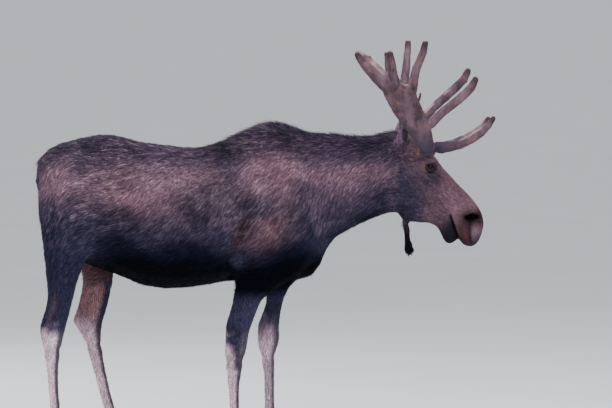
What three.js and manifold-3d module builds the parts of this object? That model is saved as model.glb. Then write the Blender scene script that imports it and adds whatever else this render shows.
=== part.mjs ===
// A bull moose in summer coat with antlers in velvet, standing square on and seen as a still, life-size model.
// Millimetres, +X towards the nose, +Y to the animal's left, +Z up, the hooves' soles on Z = 0.
import * as THREE from "three";
import { mergeVertices } from "three/addons/utils/BufferGeometryUtils.js";
import Module from "manifold-3d";

const wasm = await Module();
wasm.setup();

// ---------------------------------------------------------------- driving sizes
const CUT = 0.5; // gap that parts one named piece from the next
const EYE_RADIUS = 23;
const SOCKET_GAP = 0.6; // free space round the eyeball
const HEAD_POLL = [712, 1630]; // x, z of the poll, where the head's own axis starts
const HEAD_PITCH = THREE.MathUtils.degToRad(52.8); // the face's slope below the horizon
const EYE_AT = [130, 6, 84]; // along the face, above its axis, out from the middle
const NOSTRIL_AT = [463, 14, 58];
const CORONET = 73; // height where each leg ends and its hoof begins
const HOOF_TOP = CORONET - CUT;
const COFFIN_SLOPE = 0.25; // fall of the coronet from the toe to the heel
const RIGHT = -1;
const LEFT = 1;

// ---------------------------------------------------------------- lofts
// Each row of a loft holds the sizes of one cross-section. Rows between them follow a smooth spline.
function loft(rows, section, { per = 2, around = 16 } = {}) {
  const spline = new THREE.CubicInterpolant(
    rows.map((_, i) => i),
    rows.flat(),
    rows[0].length,
  );
  const rings = (rows.length - 1) * per;
  const geometry = new THREE.SphereGeometry(1, around, rings);
  const position = geometry.getAttribute("position");
  for (let ring = 0; ring <= rings; ring++) {
    const sizes = Array.from(spline.evaluate(ring / per));
    const closed = ring === 0 || ring === rings;
    for (let step = 0; step <= around; step++) {
      const angle = ((step % around) / around) * 2 * Math.PI;
      const point = section(sizes, closed ? 0 : Math.cos(angle), closed ? 0 : Math.sin(angle));
      position.setXYZ(ring * (around + 1) + step, point.x, point.y, point.z);
    }
  }
  return geometry;
}

// Rounds a circle's cosine or sine towards a fuller, boxier section.
const fuller = (value, power) => Math.sign(value) * Math.abs(value) ** power;

// Rows of [x, bottom, widest level, top, half width, ridge]: upright sections of the trunk and neck.
function bodySection([x, bottom, wide, top, half, ridge], c, s) {
  const rise = s > 0 ? top - wide : wide - bottom;
  const narrow = 1 - ridge * Math.max(0, s) ** 2;
  return new THREE.Vector3(x, half * narrow * fuller(c, 0.88), wide + rise * fuller(s, 0.94));
}

// Rows of [z, rear x, front x, y, half width]: level sections of a leg.
function legSection([z, rear, front, y, half], c, s) {
  return new THREE.Vector3((rear + front) / 2 + ((front - rear) / 2) * c, y + half * s, z);
}

// The head's own frame: first number along the face, second above its axis, third out from the middle.
const headFrame = new THREE.Matrix4()
  .makeBasis(
    new THREE.Vector3(Math.cos(HEAD_PITCH), 0, -Math.sin(HEAD_PITCH)),
    new THREE.Vector3(Math.sin(HEAD_PITCH), 0, Math.cos(HEAD_PITCH)),
    new THREE.Vector3(0, -1, 0),
  )
  .setPosition(HEAD_POLL[0], 0, HEAD_POLL[1]);
const onHead = (along, above, out) => new THREE.Vector3(along, above, out).applyMatrix4(headFrame);

// Rows of [along, bottom, widest level, top, half width]: sections square to the face.
function headSection([along, bottom, wide, top, half], c, s) {
  const rise = s > 0 ? top - wide : wide - bottom;
  return onHead(along, wide + rise * fuller(s, 0.82), half * fuller(c, 0.86));
}

// Rows of [x, y, z, half width, half thickness, width axis x, y, z]: a blade or round tine, with cup bending it.
function bladeSection([x, y, z, half, thick, wx, wy, wz], c, s, along, cup = 0) {
  const across = new THREE.Vector3(wx, wy, wz).normalize();
  const normal = new THREE.Vector3().crossVectors(across, along).normalize();
  return new THREE.Vector3(x, y, z)
    .addScaledVector(across, half * c)
    .addScaledVector(normal, thick * s + cup * half * c * c);
}

// A loft of blade sections whose normals follow the line through its rows.
function blade(rows, { per = 1, around = 12, cup = 0 } = {}) {
  const line = new THREE.CatmullRomCurve3(rows.map(([x, y, z]) => new THREE.Vector3(x, y, z)));
  const spline = new THREE.CubicInterpolant(
    rows.map((_, i) => i),
    rows.flat(),
    rows[0].length,
  );
  let along = new THREE.Vector3();
  let last = -1;
  const section = (sizes, c, s) => {
    const at = sizes.at(-1);
    if (at !== last) along = line.getTangent(at / (rows.length - 1));
    last = at;
    return bladeSection(sizes, c, s, along, c === 0 && s === 0 ? 0 : cup);
  };
  const numbered = rows.map((row, i) => [...row, i]);
  return loft(numbered, section, { per, around });
}

// A round tapering tine: rows of [x, y, z, radius], closed by a blunt tip.
function tine(rows, { per = 1, around = 7 } = {}) {
  const [x, y, z, radius] = rows.at(-1);
  const [px, py, pz] = rows.at(-2);
  const tip = new THREE.Vector3(x, y, z);
  const out = tip.clone().sub(new THREE.Vector3(px, py, pz)).normalize();
  const blunt = [
    [...tip.clone().addScaledVector(out, radius * 0.62).toArray(), radius * 0.78],
    [...tip.clone().addScaledVector(out, radius).toArray(), radius * 0.3],
  ];
  const upright = Math.abs(out.z) > 0.8 ? [1, 0, 0] : [0, 0, 1];
  const side = new THREE.Vector3().crossVectors(out, new THREE.Vector3(...upright)).toArray();
  return blade(
    [...rows, ...blunt].map(([a, b, c, r]) => [a, b, c, r, r, ...side]),
    { per, around },
  );
}

// ---------------------------------------------------------------- solids
// A closed mesh as a manifold-3d solid, turned so that its faces point out.
function solid(geometry) {
  const bare = geometry.clone();
  bare.deleteAttribute("normal");
  bare.deleteAttribute("uv");
  const merged = mergeVertices(bare, 1e-3);
  const corners = new Uint32Array(merged.index.array);
  const make = () =>
    new wasm.Manifold(
      new wasm.Mesh({
        numProp: 3,
        vertProperties: merged.attributes.position.array,
        triVerts: corners,
      }),
    );
  const made = make();
  if (made.volume() > 0) return made;
  for (let i = 0; i < corners.length; i += 3) {
    [corners[i + 1], corners[i + 2]] = [corners[i + 2], corners[i + 1]];
  }
  return make();
}

const joined = (...solids) => solids.reduce((all, next) => all.add(next));

// An ellipsoid at a point, with its radii along the head's own axes.
function headEgg(centre, radii, around = 12, rings = 8) {
  const egg = new THREE.SphereGeometry(1, around, rings);
  egg.scale(...radii).translate(...centre);
  return solid(egg.applyMatrix4(headFrame));
}

// ---------------------------------------------------------------- trunk and neck
// x, bottom, widest level, top, half width, ridge
const TRUNK = [
  [-1152, 1400, 1440, 1480, 30, 0.1],
  [-1147, 1330, 1430, 1550, 92, 0.15],
  [-1126, 1230, 1410, 1604, 150, 0.2],
  [-1085, 1150, 1395, 1638, 190, 0.25],
  [-1027, 1090, 1380, 1662, 216, 0.3],
  [-927, 1050, 1365, 1687, 236, 0.34],
  [-837, 1020, 1350, 1702, 246, 0.36],
  [-752, 988, 1330, 1693, 256, 0.36],
  [-637, 939, 1300, 1661, 272, 0.34],
  [-527, 923, 1275, 1648, 288, 0.32],
  [-427, 926, 1265, 1635, 296, 0.32],
  [-327, 940, 1265, 1633, 294, 0.34],
  [-227, 957, 1265, 1661, 282, 0.42],
  [-127, 966, 1270, 1713, 264, 0.54],
  [-27, 966, 1275, 1756, 248, 0.64],
  [72, 965, 1275, 1756, 234, 0.68],
  [150, 966, 1275, 1722, 218, 0.64],
  [215, 990, 1285, 1700, 190, 0.5],
  [262, 1062, 1310, 1690, 150, 0.4],
  [288, 1146, 1340, 1640, 104, 0.3],
  [300, 1250, 1370, 1500, 60, 0.2],
];
const NECK = [
  [60, 1150, 1350, 1560, 90, 0.3],
  [110, 1040, 1350, 1680, 168, 0.4],
  [200, 1030, 1360, 1698, 178, 0.5],
  [262, 1088, 1380, 1700, 166, 0.5],
  [330, 1178, 1405, 1697, 150, 0.46],
  [410, 1221, 1430, 1686, 138, 0.42],
  [500, 1264, 1455, 1681, 128, 0.38],
  [580, 1290, 1475, 1700, 120, 0.34],
  [650, 1306, 1490, 1706, 110, 0.3],
  [700, 1330, 1500, 1676, 94, 0.3],
  [735, 1390, 1500, 1600, 66, 0.2],
];

// ---------------------------------------------------------------- head
// along the face, bottom, widest level, top, half width
const SKULL = [
  [-118, -150, -100, -50, 60],
  [-104, -200, -90, -20, 84],
  [-62, -220, -85, 18, 98],
  [0, -230, -75, 46, 102],
  [62, -238, -60, 61, 106],
  [125, -238, -48, 60, 108],
  [175, -228, -40, 59, 104],
  [230, -212, -46, 66, 90],
  [290, -185, -44, 71, 76],
  [345, -120, -28, 80, 66],
  [400, -62, -2, 85, 60],
  [450, -78, -4, 84, 61],
  [490, -87, -12, 75, 69],
  [526, -92, -22, 56, 74],
  [550, -90, -32, 28, 72],
  [568, -82, -38, 0, 61],
  [580, -68, -44, -22, 44],
  [584, -56, -46, -36, 20],
];
const JAW = [
  [110, -200, -150, -100, 50],
  [170, -238, -150, -70, 80],
  [234, -244, -140, -60, 88],
  [290, -236, -130, -50, 82],
  [326, -200, -120, -48, 70],
  [356, -162, -108, -46, 60],
  [380, -150, -104, -48, 54],
  [405, -144, -102, -56, 50],
  [437, -152, -106, -68, 46],
  [463, -159, -112, -77, 45],
  [488, -159, -120, -86, 44],
  [502, -147, -122, -90, 38],
  [513, -128, -118, -104, 18],
];

// A soft swelling or hollow: moves the points near a place on the head, out from the middle and up.
function swell(geometry, [along, above, out], [rAlong, rAbove], push, lift = 0) {
  const toHead = headFrame.clone().invert();
  const position = geometry.getAttribute("position");
  const point = new THREE.Vector3();
  for (let i = 0; i < position.count; i++) {
    point.fromBufferAttribute(position, i).applyMatrix4(toHead);
    const side = Math.sign(point.z) * Math.min(1, Math.abs(point.z) / out);
    const fall = Math.exp(-(((point.x - along) / rAlong) ** 2) - ((point.y - above) / rAbove) ** 2);
    point.z += push * fall * side;
    point.y += lift * fall;
    point.applyMatrix4(headFrame);
    position.setXYZ(i, point.x, point.y, point.z);
  }
  return geometry;
}

function makeHead() {
  const skull = loft(SKULL, headSection, { per: 1, around: 18 });
  swell(skull, [118, 36, 80], [44, 24], 13, 4); // brow ridge
  swell(skull, [200, 22, 70], [40, 28], -9); // hollow in front of the eye
  swell(skull, [215, -66, 70], [70, 34], 6); // cheekbone
  swell(skull, [470, -2, 50], [36, 34], 7); // flare of the nostril
  swell(skull, [500, -66, 50], [40, 30], 4); // cushion of the upper lip
  const jaw = loft(JAW, headSection, { per: 1, around: 12 });
  swell(jaw, [225, -150, 70], [60, 60], 6); // chewing muscle
  let head = joined(solid(skull), solid(jaw));
  for (const side of [RIGHT, LEFT]) {
    const [along, above, out] = EYE_AT;
    const socket = EYE_RADIUS + SOCKET_GAP;
    head = head.subtract(headEgg([along, above, -side * out], [socket, socket, socket], 10, 8));
    const [nAlong, nAbove, nOut] = NOSTRIL_AT;
    head = head.subtract(headEgg([nAlong, nAbove, -side * nOut], [26, 17, 22], 8, 6));
  }
  return head;
}

// ---------------------------------------------------------------- ears
// Rows of [x, y, z, half width, half thickness, width axis x, y, z]: a cupped leaf open to the front and outside.
function makeEar(side) {
  const rows = [
    [650, 58, 1556, 20, 16],
    [654, 78, 1588, 38, 22],
    [658, 104, 1626, 49, 15],
    [660, 128, 1670, 50, 10],
    [661, 148, 1714, 40, 8],
    [662, 162, 1750, 23, 7],
    [663, 170, 1774, 8, 5],
  ];
  const leaf = rows.map(([x, y, z, half, thick], i) => {
    const turn = THREE.MathUtils.degToRad(24 + 5 * i);
    return [x, side * y, z, half, thick, Math.cos(turn), side * Math.sin(turn), 0];
  });
  return solid(blade(leaf, { per: 2, around: 8, cup: -side * 0.42 }));
}

// ---------------------------------------------------------------- bell, the dewlap under the throat
function makeBell() {
  const rows = [
    [672, 0, 1330, 46, 40],
    [672, 0, 1290, 32, 24],
    [679, 0, 1254, 15, 15],
    [685, 0, 1215, 11, 12],
    [690, 0, 1165, 11, 12],
    [694, 0, 1136, 17, 16],
    [698, 0, 1114, 21, 18],
    [697, 0, 1102, 14, 12],
    [697, 0, 1097, 5, 5],
  ];
  return solid(blade(rows.map((row) => [...row, 1, 0, 0]), { around: 8 }));
}

// ---------------------------------------------------------------- tail
function makeTail() {
  const rows = [
    [-1100, 0, 1596, 24, 16],
    [-1144, 0, 1576, 30, 15],
    [-1172, 0, 1528, 32, 12],
    [-1178, 0, 1470, 30, 11],
    [-1177, 0, 1424, 21, 9],
    [-1175, 0, 1404, 8, 5],
  ];
  return solid(blade(rows.map((row) => [...row, 0, 1, 0]), { around: 8 }));
}

// ---------------------------------------------------------------- legs
// z, rear x, front x, distance out from the middle, half width
const FORE_TOP = [
  [1640, 0, 80, 90, 30],
  [1590, -40, 130, 120, 62],
  [1460, -80, 190, 152, 84],
  [1320, -105, 225, 162, 90],
  [1200, -140, 235, 160, 88],
  [1080, -168, 215, 156, 82],
];
const FORE_RIGHT = [
  ...FORE_TOP,
  [990, -190, 130, 152, 76],
  [930, -190, 30, 152, 68],
  [875, -200, -44, 152, 60],
  [820, -214, -64, 151, 54],
  [770, -232, -84, 150, 50],
  [735, -238, -98, 150, 49],
  [700, -234, -110, 150, 51],
  [645, -236, -124, 150, 54],
  [600, -240, -128, 150, 52],
  [555, -236, -136, 150, 44],
  [510, -228, -146, 150, 36],
  [440, -222, -154, 150, 31],
  [330, -218, -154, 150, 29],
  [250, -220, -148, 151, 32],
  [195, -230, -138, 152, 41],
  [150, -228, -126, 153, 42],
  [108, -220, -106, 154, 45],
  [CORONET, -218, -88, 155, 48],
  [CORONET, -216, -90, 155, 46],
];
const FORE_LEFT = [
  ...FORE_TOP,
  [990, -90, 190, 152, 72],
  [920, -30, 112, 152, 64],
  [856, -14, 80, 152, 58],
  [800, -34, 70, 151, 52],
  [750, -54, 62, 150, 49],
  [720, -65, 61, 150, 49],
  [680, -64, 58, 150, 51],
  [630, -58, 48, 150, 54],
  [585, -50, 40, 150, 51],
  [540, -40, 34, 150, 42],
  [500, -32, 34, 150, 35],
  [430, -30, 35, 150, 31],
  [330, -28, 36, 150, 29],
  [250, -30, 42, 151, 32],
  [195, -38, 54, 152, 41],
  [150, -36, 66, 153, 42],
  [108, -28, 86, 154, 45],
  [CORONET, -26, 104, 155, 48],
  [CORONET, -24, 102, 155, 46],
];
const HIND_TOP = [
  [1640, -980, -880, 90, 36],
  [1590, -1090, -820, 118, 78],
  [1490, -1160, -790, 148, 104],
  [1370, -1164, -780, 160, 110],
  [1250, -1156, -800, 166, 106],
];
const HIND_RIGHT = [
  ...HIND_TOP,
  [1165, -1144, -876, 168, 98],
  [1080, -1134, -918, 168, 86],
  [994, -1126, -954, 167, 74],
  [900, -1121, -978, 166, 60],
  [850, -1130, -988, 166, 52],
  [800, -1148, -999, 165, 46],
  [739, -1166, -1016, 165, 43],
  [699, -1156, -1028, 165, 45],
  [649, -1145, -1041, 165, 46],
  [589, -1134, -1052, 165, 41],
  [509, -1123, -1057, 165, 34],
  [399, -1114, -1052, 165, 30],
  [270, -1110, -1044, 166, 31],
  [200, -1118, -1026, 167, 40],
  [150, -1108, -1008, 168, 42],
  [108, -1096, -984, 169, 45],
  [CORONET, -1094, -964, 170, 48],
  [CORONET, -1092, -966, 170, 46],
];
const HIND_LEFT = [
  ...HIND_TOP,
  [1165, -1080, -778, 168, 96],
  [1080, -1000, -764, 168, 84],
  [994, -930, -770, 167, 72],
  [896, -948, -786, 166, 60],
  [850, -960, -795, 166, 52],
  [800, -977, -806, 165, 46],
  [756, -994, -822, 165, 43],
  [721, -976, -830, 165, 44],
  [681, -945, -836, 165, 46],
  [631, -925, -834, 165, 45],
  [571, -905, -827, 165, 40],
  [491, -884, -812, 165, 34],
  [381, -856, -786, 165, 30],
  [270, -824, -754, 166, 31],
  [200, -814, -722, 167, 40],
  [150, -790, -694, 168, 42],
  [108, -768, -662, 169, 45],
  [CORONET, -762, -638, 170, 48],
  [CORONET, -760, -640, 170, 46],
];

// the last row is carried down to the heel's level, below the slope that the claws' tops follow
function legSolid(rows, side) {
  const [, rear, front, y, half] = rows.at(-1);
  const heel = HOOF_TOP - COFFIN_SLOPE * (front - rear) - 16;
  const all = [...rows.slice(0, -1), [heel, rear + 5, front + 10, y, half - 2], [heel, rear + 14, front, y, half - 8]];
  return solid(
    loft(
      all.map(([z, from, to, at, wide]) => [z, from, to, side * at, wide]),
      legSection,
      { per: 1, around: 10 },
    ),
  );
}

// ---------------------------------------------------------------- hooves
// Each foot has two long claws on the floor and two small dewclaws behind the fetlock.
const CLAW_GAP = 5; // cleft between the two claws of a foot
const CLAW_HALF = 25;
function claw(heel, toe, y, splay) {
  // outlines from the coronet down: z at the toe, heel inset, toe inset, half width; the top ones slope to the heel
  const levels = [
    [HOOF_TOP, 12, 50, 0.5],
    [HOOF_TOP, 12, 50, 0.84],
    [38, 5, 25, 0.96],
    [5, 0, 3, 1],
    [0, 3, 6, 0.94],
    [0, 20, 20, 0.5],
  ];
  const rows = levels.map(([z, back, front, wide]) => [z, heel + back, toe - front, y, CLAW_HALF * wide]);
  const pointed = ([z, rear, front, at, half], c, s) => {
    const taper = 1 - 0.7 * Math.max(0, c) ** 3;
    const x = (rear + front) / 2 + ((front - rear) / 2) * c;
    const drop = (COFFIN_SLOPE * (toe - 50 - x) * z) / HOOF_TOP;
    return new THREE.Vector3(x, at + half * s * taper + splay * (x - heel), z - drop);
  };
  return solid(loft(rows, pointed, { per: 1, around: 8 }));
}

function dewclaw(x, y, z, grown = 0) {
  const rows = [
    [x + 18, y, z + 24 + grown, 12, 11, 0, 1, 0],
    [x + 6, y, z + 14 + grown, 16, 15, 0, 1, 0],
    [x - 6, y, z - 8, 16, 13, 0, 1, 0],
    [x - 10, y, z - 32 - grown, 8, 7, 0, 1, 0],
  ];
  const wide = rows.map(([a, b, c, half, thick, ...axis]) => [a, b, c, half + grown, thick + grown, ...axis]);
  return solid(blade(wide, { around: 7 }));
}

// ---------------------------------------------------------------- antlers in velvet
// Every point is given for the right antler as [x, distance out, z, ...] and mirrored by side.
const mirrored = (rows, side) => rows.map(([x, out, z, ...rest]) => [x, side * out, z, ...rest]);

// Beam and palm: x, out, z, half width, half thickness, width axis x, out, z
const PALM = [
  [782, 64, 1572, 26, 26, 0.96, 0.1, 0.2],
  [782, 100, 1594, 35, 33, 0.96, 0.1, 0.2],
  [778, 146, 1614, 34, 32, 0.95, 0.15, 0.25],
  [768, 204, 1650, 40, 29, 0.92, 0.25, 0.3],
  [741, 246, 1715, 55, 22, 0.88, 0.34, 0.32],
  [703, 276, 1782, 68, 17, 0.86, 0.38, 0.34],
  [660, 302, 1853, 76, 14, 0.86, 0.4, 0.34],
  [632, 322, 1918, 84, 12, 0.88, 0.42, 0.2],
  [622, 332, 1950, 84, 11, 0.9, 0.42, 0.0],
  [620, 336, 1966, 76, 10, 0.9, 0.42, -0.1],
];
// the left palm is a little narrower and stands further forward
const LEFT_PALM = PALM.map(([x, out, z, half, ...rest], i) => [x + 2.2 * i, out, z, half * (1 - 0.02 * i), ...rest]);

// where the brow and fork tines leave the beam: a point and the way the tine runs, and the pedicle's own cut
const FORK_CUT = { at: [806, 264, 1782], run: [0.72, 0.24, 0.66] };
const BROW_CUT = { at: [828, 168, 1624], run: [0.95, 0.2, 0.24] };
const PEDICLE_CUT = { at: [780, 118, 1600], run: [0, 1, 0.35] };

function antler(side, tines) {
  const swapAxis = ([x, y, z, half, thick, wx, wy, wz]) => [x, y, z, half, thick, wx, side * wy, wz];
  const rows = side === LEFT ? LEFT_PALM : PALM;
  const plate = solid(blade(mirrored(rows, side).map(swapAxis), { around: 12, cup: -side * 0.16 }));
  const points = tines.palm.map((rows) => solid(tine(mirrored(rows, side))));
  const cutOff = (made, { at, run }) => {
    const [[where], [way]] = [mirrored([at], side), mirrored([run], side)];
    return split(made, where, way);
  };
  const [fork, forkRoot] = cutOff(solid(tine(mirrored(tines.fork, side))), FORK_CUT);
  const [brow, browRoot] = cutOff(solid(tine(mirrored(tines.brow, side))), BROW_CUT);
  const [palm, pedicle] = cutOff(joined(plate, ...points, forkRoot, browRoot), PEDICLE_CUT);
  return { palm, fork, brow, pedicle };
}

// x, out, z, radius
const FORK_ROWS = [
  [735, 236, 1706, 27],
  [786, 256, 1757, 25],
  [836, 274, 1809, 22],
  [885, 290, 1850, 22],
  [934, 305, 1891, 22],
  [983, 320, 1940, 21],
  [1003, 326, 1978, 16],
];
const BROW_ROWS = [
  [785, 150, 1612, 30],
  [841, 176, 1629, 24],
  [890, 196, 1639, 23],
  [939, 210, 1655, 24],
  [988, 220, 1679, 24],
  [1038, 228, 1713, 23],
  [1077, 230, 1750, 18],
  [1100, 228, 1782, 12],
];
const RIGHT_TINES = {
  palm: [
    [[640, 322, 1890, 16], [590, 322, 1934, 42], [536, 318, 1986, 42], [487, 312, 2038, 38], [446, 306, 2080, 30], [428, 303, 2102, 22]],
    [[622, 318, 1890, 16], [602, 332, 1956, 28], [592, 352, 2006, 25], [584, 366, 2057, 22], [575, 386, 2110, 16]],
    [[672, 322, 1860, 16], [686, 345, 1925, 25], [694, 368, 1987, 23], [706, 384, 2038, 20], [738, 412, 2120, 18], [748, 428, 2166, 14]],
  ],
  fork: FORK_ROWS,
  brow: BROW_ROWS,
};
// the left antler's tines differ a little: a higher fork, a lower brow tine, and one small spur on its palm
const LEFT_TINES = {
  palm: [
    [[650, 322, 1896, 16], [612, 322, 1932, 34], [564, 318, 1978, 31], [528, 312, 2026, 23], [510, 306, 2060, 15]],
    [[636, 318, 1890, 16], [622, 334, 1955, 24], [618, 352, 2000, 20], [614, 366, 2045, 17], [610, 378, 2080, 14]],
    [[680, 322, 1860, 16], [694, 345, 1925, 24], [704, 368, 1985, 21], [712, 392, 2060, 18], [720, 418, 2138, 15]],
    [[736, 292, 1800, 8], [760, 284, 1842, 8], [770, 284, 1866, 6], [773, 284, 1884, 4]],
  ],
  fork: FORK_ROWS.map(([x, out, z, radius], i) => [x + 2 * i, out, z + 2.5 * i, radius]),
  brow: BROW_ROWS.map(([x, out, z, radius], i) => [x + 1.5 * i, out, z - 10 * Math.sin(0.45 * i) - 3.6 * i, radius]),
};

// ---------------------------------------------------------------- the whole body, then its named pieces
const RED_BROWN = 0x4a3128;
const LOOKS = {
  coat: { color: RED_BROWN, roughness: 0.8, metalness: 0 },
  dark: { color: 0x1d1a1c, roughness: 0.8, metalness: 0 },
  pale: { color: 0x8a7868, roughness: 0.85, metalness: 0 },
  velvet: { color: 0x5c4234, roughness: 0.9, metalness: 0 },
  horn: { color: 0x2a2422, roughness: 0.45, metalness: 0 },
  eye: { color: 0x120c0a, roughness: 0.1, metalness: 0 },
};

const moose = new THREE.Group();
function show(name, made, look) {
  const { vertProperties, triVerts, numProp } = made.getMesh();
  const points = new Float32Array((vertProperties.length / numProp) * 3);
  for (let i = 0; i < points.length / 3; i++) {
    points.set(vertProperties.subarray(i * numProp, i * numProp + 3), i * 3);
  }
  const geometry = new THREE.BufferGeometry();
  geometry.setAttribute("position", new THREE.BufferAttribute(points, 3));
  geometry.setIndex(new THREE.BufferAttribute(new Uint32Array(triVerts), 1));
  const mesh = new THREE.Mesh(geometry, new THREE.MeshStandardMaterial(LOOKS[look]));
  mesh.name = name;
  moose.add(mesh);
}


// A box standing on a plane: everything inside it belongs to the piece that is cut off there.
function beyond(at, normal, [wide, tall], reach) {
  const box = new THREE.BoxGeometry(wide, tall, reach).translate(0, 0, reach / 2);
  const turn = new THREE.Quaternion().setFromUnitVectors(
    new THREE.Vector3(0, 0, 1),
    new THREE.Vector3(...normal).normalize(),
  );
  return solid(box.applyQuaternion(turn).translate(...at));
}

// Parts a solid at a plane and leaves a gap of CUT there: [the piece beyond the plane, the rest].
function split(made, at, normal, spread = [1200, 1200], reach = 2600) {
  const unit = new THREE.Vector3(...normal).normalize();
  const back = new THREE.Vector3(...at).addScaledVector(unit, -CUT).toArray();
  return [
    made.intersect(beyond(at, normal, spread, reach)),
    made.subtract(beyond(back, normal, spread, reach)),
  ];
}

const SIDES = { right: RIGHT, left: LEFT };
const LEG_ROWS = { fore_right: FORE_RIGHT, fore_left: FORE_LEFT, hind_right: HIND_RIGHT, hind_left: HIND_LEFT };
// where each leg leaves the trunk, and the joint that parts its upper from its lower half
const LEG_CUTS = { fore: { top: 905, joint: 628 }, hind: { top: 952, joint: 664 } };

const trunk = solid(loft(TRUNK, bodySection, { per: 1, around: 20 }));
const neck = solid(loft(NECK, bodySection, { per: 1, around: 16 }));
let head = makeHead();

for (const [sideName, side] of Object.entries(SIDES)) {
  const { palm, fork, brow, pedicle } = antler(side, side === RIGHT ? RIGHT_TINES : LEFT_TINES);
  show(`antler_${sideName}`, palm, "velvet");
  show(`antler_fork_${sideName}`, fork, "velvet");
  show(`antler_brow_${sideName}`, brow, "velvet");

  const [ear, root] = split(makeEar(side), [658, side * 112, 1640], [0, side * 0.62, 0.78]);
  show(`ear_${sideName}`, ear, "coat");
  head = joined(head, pedicle, root);

  const [along, above, out] = EYE_AT;
  show(`eye_${sideName}`, headEgg([along, above, -side * out], [EYE_RADIUS, EYE_RADIUS, EYE_RADIUS], 10, 8), "eye");
}

const [bell, throat] = split(makeBell(), [680, 0, 1240], [0.1, 0, -1]);
show("bell", bell, "dark");

const [tail, rump] = split(makeTail(), [-1158, 0, 1552], [-0.55, 0, -0.83], [200, 200], 300);
show("tail", tail, "dark");

const legRoots = [];
for (const [name, rows] of Object.entries(LEG_ROWS)) {
  const [place, sideName] = name.split("_");
  const side = SIDES[sideName];
  const { top, joint } = LEG_CUTS[place];
  const [leg, root] = split(legSolid(rows, side), [0, 0, top], [0, 0, -1], [3000, 3000]);
  const [whole, upper] = split(leg, [0, 0, joint], [0, 0, -1], [3000, 3000]);
  legRoots.push(root);
  show(`leg_${name}_upper`, upper, "coat");

  const [, heel, front, middle] = rows.at(-2);
  const toe = front + 44;
  const [, lower] = split(whole, [toe - 50, 0, HOOF_TOP], [COFFIN_SLOPE, 0, -1], [1200, 1200]);
  let pastern = lower;
  for (const [clawName, way] of [["outer", 1], ["inner", -1]]) {
    const at = [rows.at(-4)[1] + 8, side * (middle + way * 25), 146];
    pastern = pastern.subtract(dewclaw(...at, CUT));
    show(`dewclaw_${name}_${clawName}`, dewclaw(...at), "horn");
  }
  show(`leg_${name}_lower`, pastern, "pale");

  for (const [clawName, way] of [["outer", 1], ["inner", -1]]) {
    const y = side * (middle + way * (CLAW_HALF + CLAW_GAP / 2));
    const spread = way * side * 0.02;
    show(`hoof_${name}_${clawName}`, claw(heel - 4, toe, y, spread), "horn");
  }
}

// head and neck part at the nape and the jaw's angle, neck and trunk along the shoulder
const NAPE = { at: [640, 0, 1500], normal: [0.985, 0, -0.17] };
const SHOULDER = { at: [205, 0, 1400], normal: [0.93, 0, 0.37] };
const body = joined(trunk, neck, head, throat, rump, ...legRoots);
const [fromNeck, trunkPart] = split(body, SHOULDER.at, SHOULDER.normal);
const [headPart, neckPart] = split(fromNeck, NAPE.at, NAPE.normal);
show("head", headPart, "coat");
show("neck", neckPart, "coat");

show("trunk", trunkPart, "coat");

// the origin lies under the middle of the whole animal's bounding box
const box = new THREE.Box3().setFromObject(moose);
const centre = box.getCenter(new THREE.Vector3());
for (const mesh of moose.children) mesh.geometry.translate(-centre.x, -centre.y, -box.min.z);

export default moose;
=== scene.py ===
"""Bull moose in dark summer coat with velvet antlers: skin, fur, eyes and hooves over the solid frame."""

import math

import bmesh
import bpy
import numpy as np
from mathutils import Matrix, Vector
from mathutils.bvhtree import BVHTree


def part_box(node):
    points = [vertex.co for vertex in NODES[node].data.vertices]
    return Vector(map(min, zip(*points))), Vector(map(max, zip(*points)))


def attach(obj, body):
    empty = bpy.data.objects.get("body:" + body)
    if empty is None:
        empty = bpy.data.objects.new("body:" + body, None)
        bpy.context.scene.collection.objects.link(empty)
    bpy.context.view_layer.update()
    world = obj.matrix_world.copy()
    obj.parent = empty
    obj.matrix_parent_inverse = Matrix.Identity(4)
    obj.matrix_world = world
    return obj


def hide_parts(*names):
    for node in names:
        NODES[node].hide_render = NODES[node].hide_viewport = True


bl_info = {
    "name": "Bull moose model",
    "version": (1, 0, 0),
    "blender": (4, 5, 0),
    "location": "3D View > Sidebar > Moose",
    "description": "Dresses the moose's solid frame with skin, fur, eyes, velvet antlers and hooves",
    "category": "Object",
}

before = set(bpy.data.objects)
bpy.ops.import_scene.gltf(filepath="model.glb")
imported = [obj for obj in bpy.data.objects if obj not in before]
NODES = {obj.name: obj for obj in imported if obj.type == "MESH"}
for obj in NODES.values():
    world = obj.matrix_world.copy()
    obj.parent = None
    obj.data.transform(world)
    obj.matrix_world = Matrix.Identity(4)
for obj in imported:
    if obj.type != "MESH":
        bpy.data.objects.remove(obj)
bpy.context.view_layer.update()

SIDES = {"right": -1.0, "left": 1.0}
LEGS = ("fore_right", "fore_left", "hind_right", "hind_left")
FLESH = ["trunk", "neck", "head", "tail", "bell", "ear_right", "ear_left"]
FLESH += [f"leg_{leg}_{half}" for leg in LEGS for half in ("upper", "lower")]


def box_centre(node):
    """Middle of a node's bounding box."""
    low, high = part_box(node)
    return (np.array(low) + np.array(high)) / 2


# ---------------------------------------------------------------- places taken from the frame
EYES = {side: box_centre(f"eye_{side}") for side in SIDES}
EYE_RADIUS = float(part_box("eye_right")[1][2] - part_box("eye_right")[0][2]) / 2
HEAD_PITCH = math.radians(52.8)
EYE_TO_POLL = (0.130, 0.006)  # back along the face, and down from its axis
POLL_TO_WITHERS = 0.712
ALONG = np.array([math.cos(HEAD_PITCH), 0.0, -math.sin(HEAD_PITCH)])
ABOVE = np.array([math.sin(HEAD_PITCH), 0.0, math.cos(HEAD_PITCH)])
EYE_MIDDLE = (EYES["right"] + EYES["left"]) / 2
MID_Y = float(EYE_MIDDLE[1])
POLL = EYE_MIDDLE - EYE_TO_POLL[0] * ALONG - EYE_TO_POLL[1] * ABOVE
WITHERS_X = float(POLL[0]) - POLL_TO_WITHERS


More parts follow.
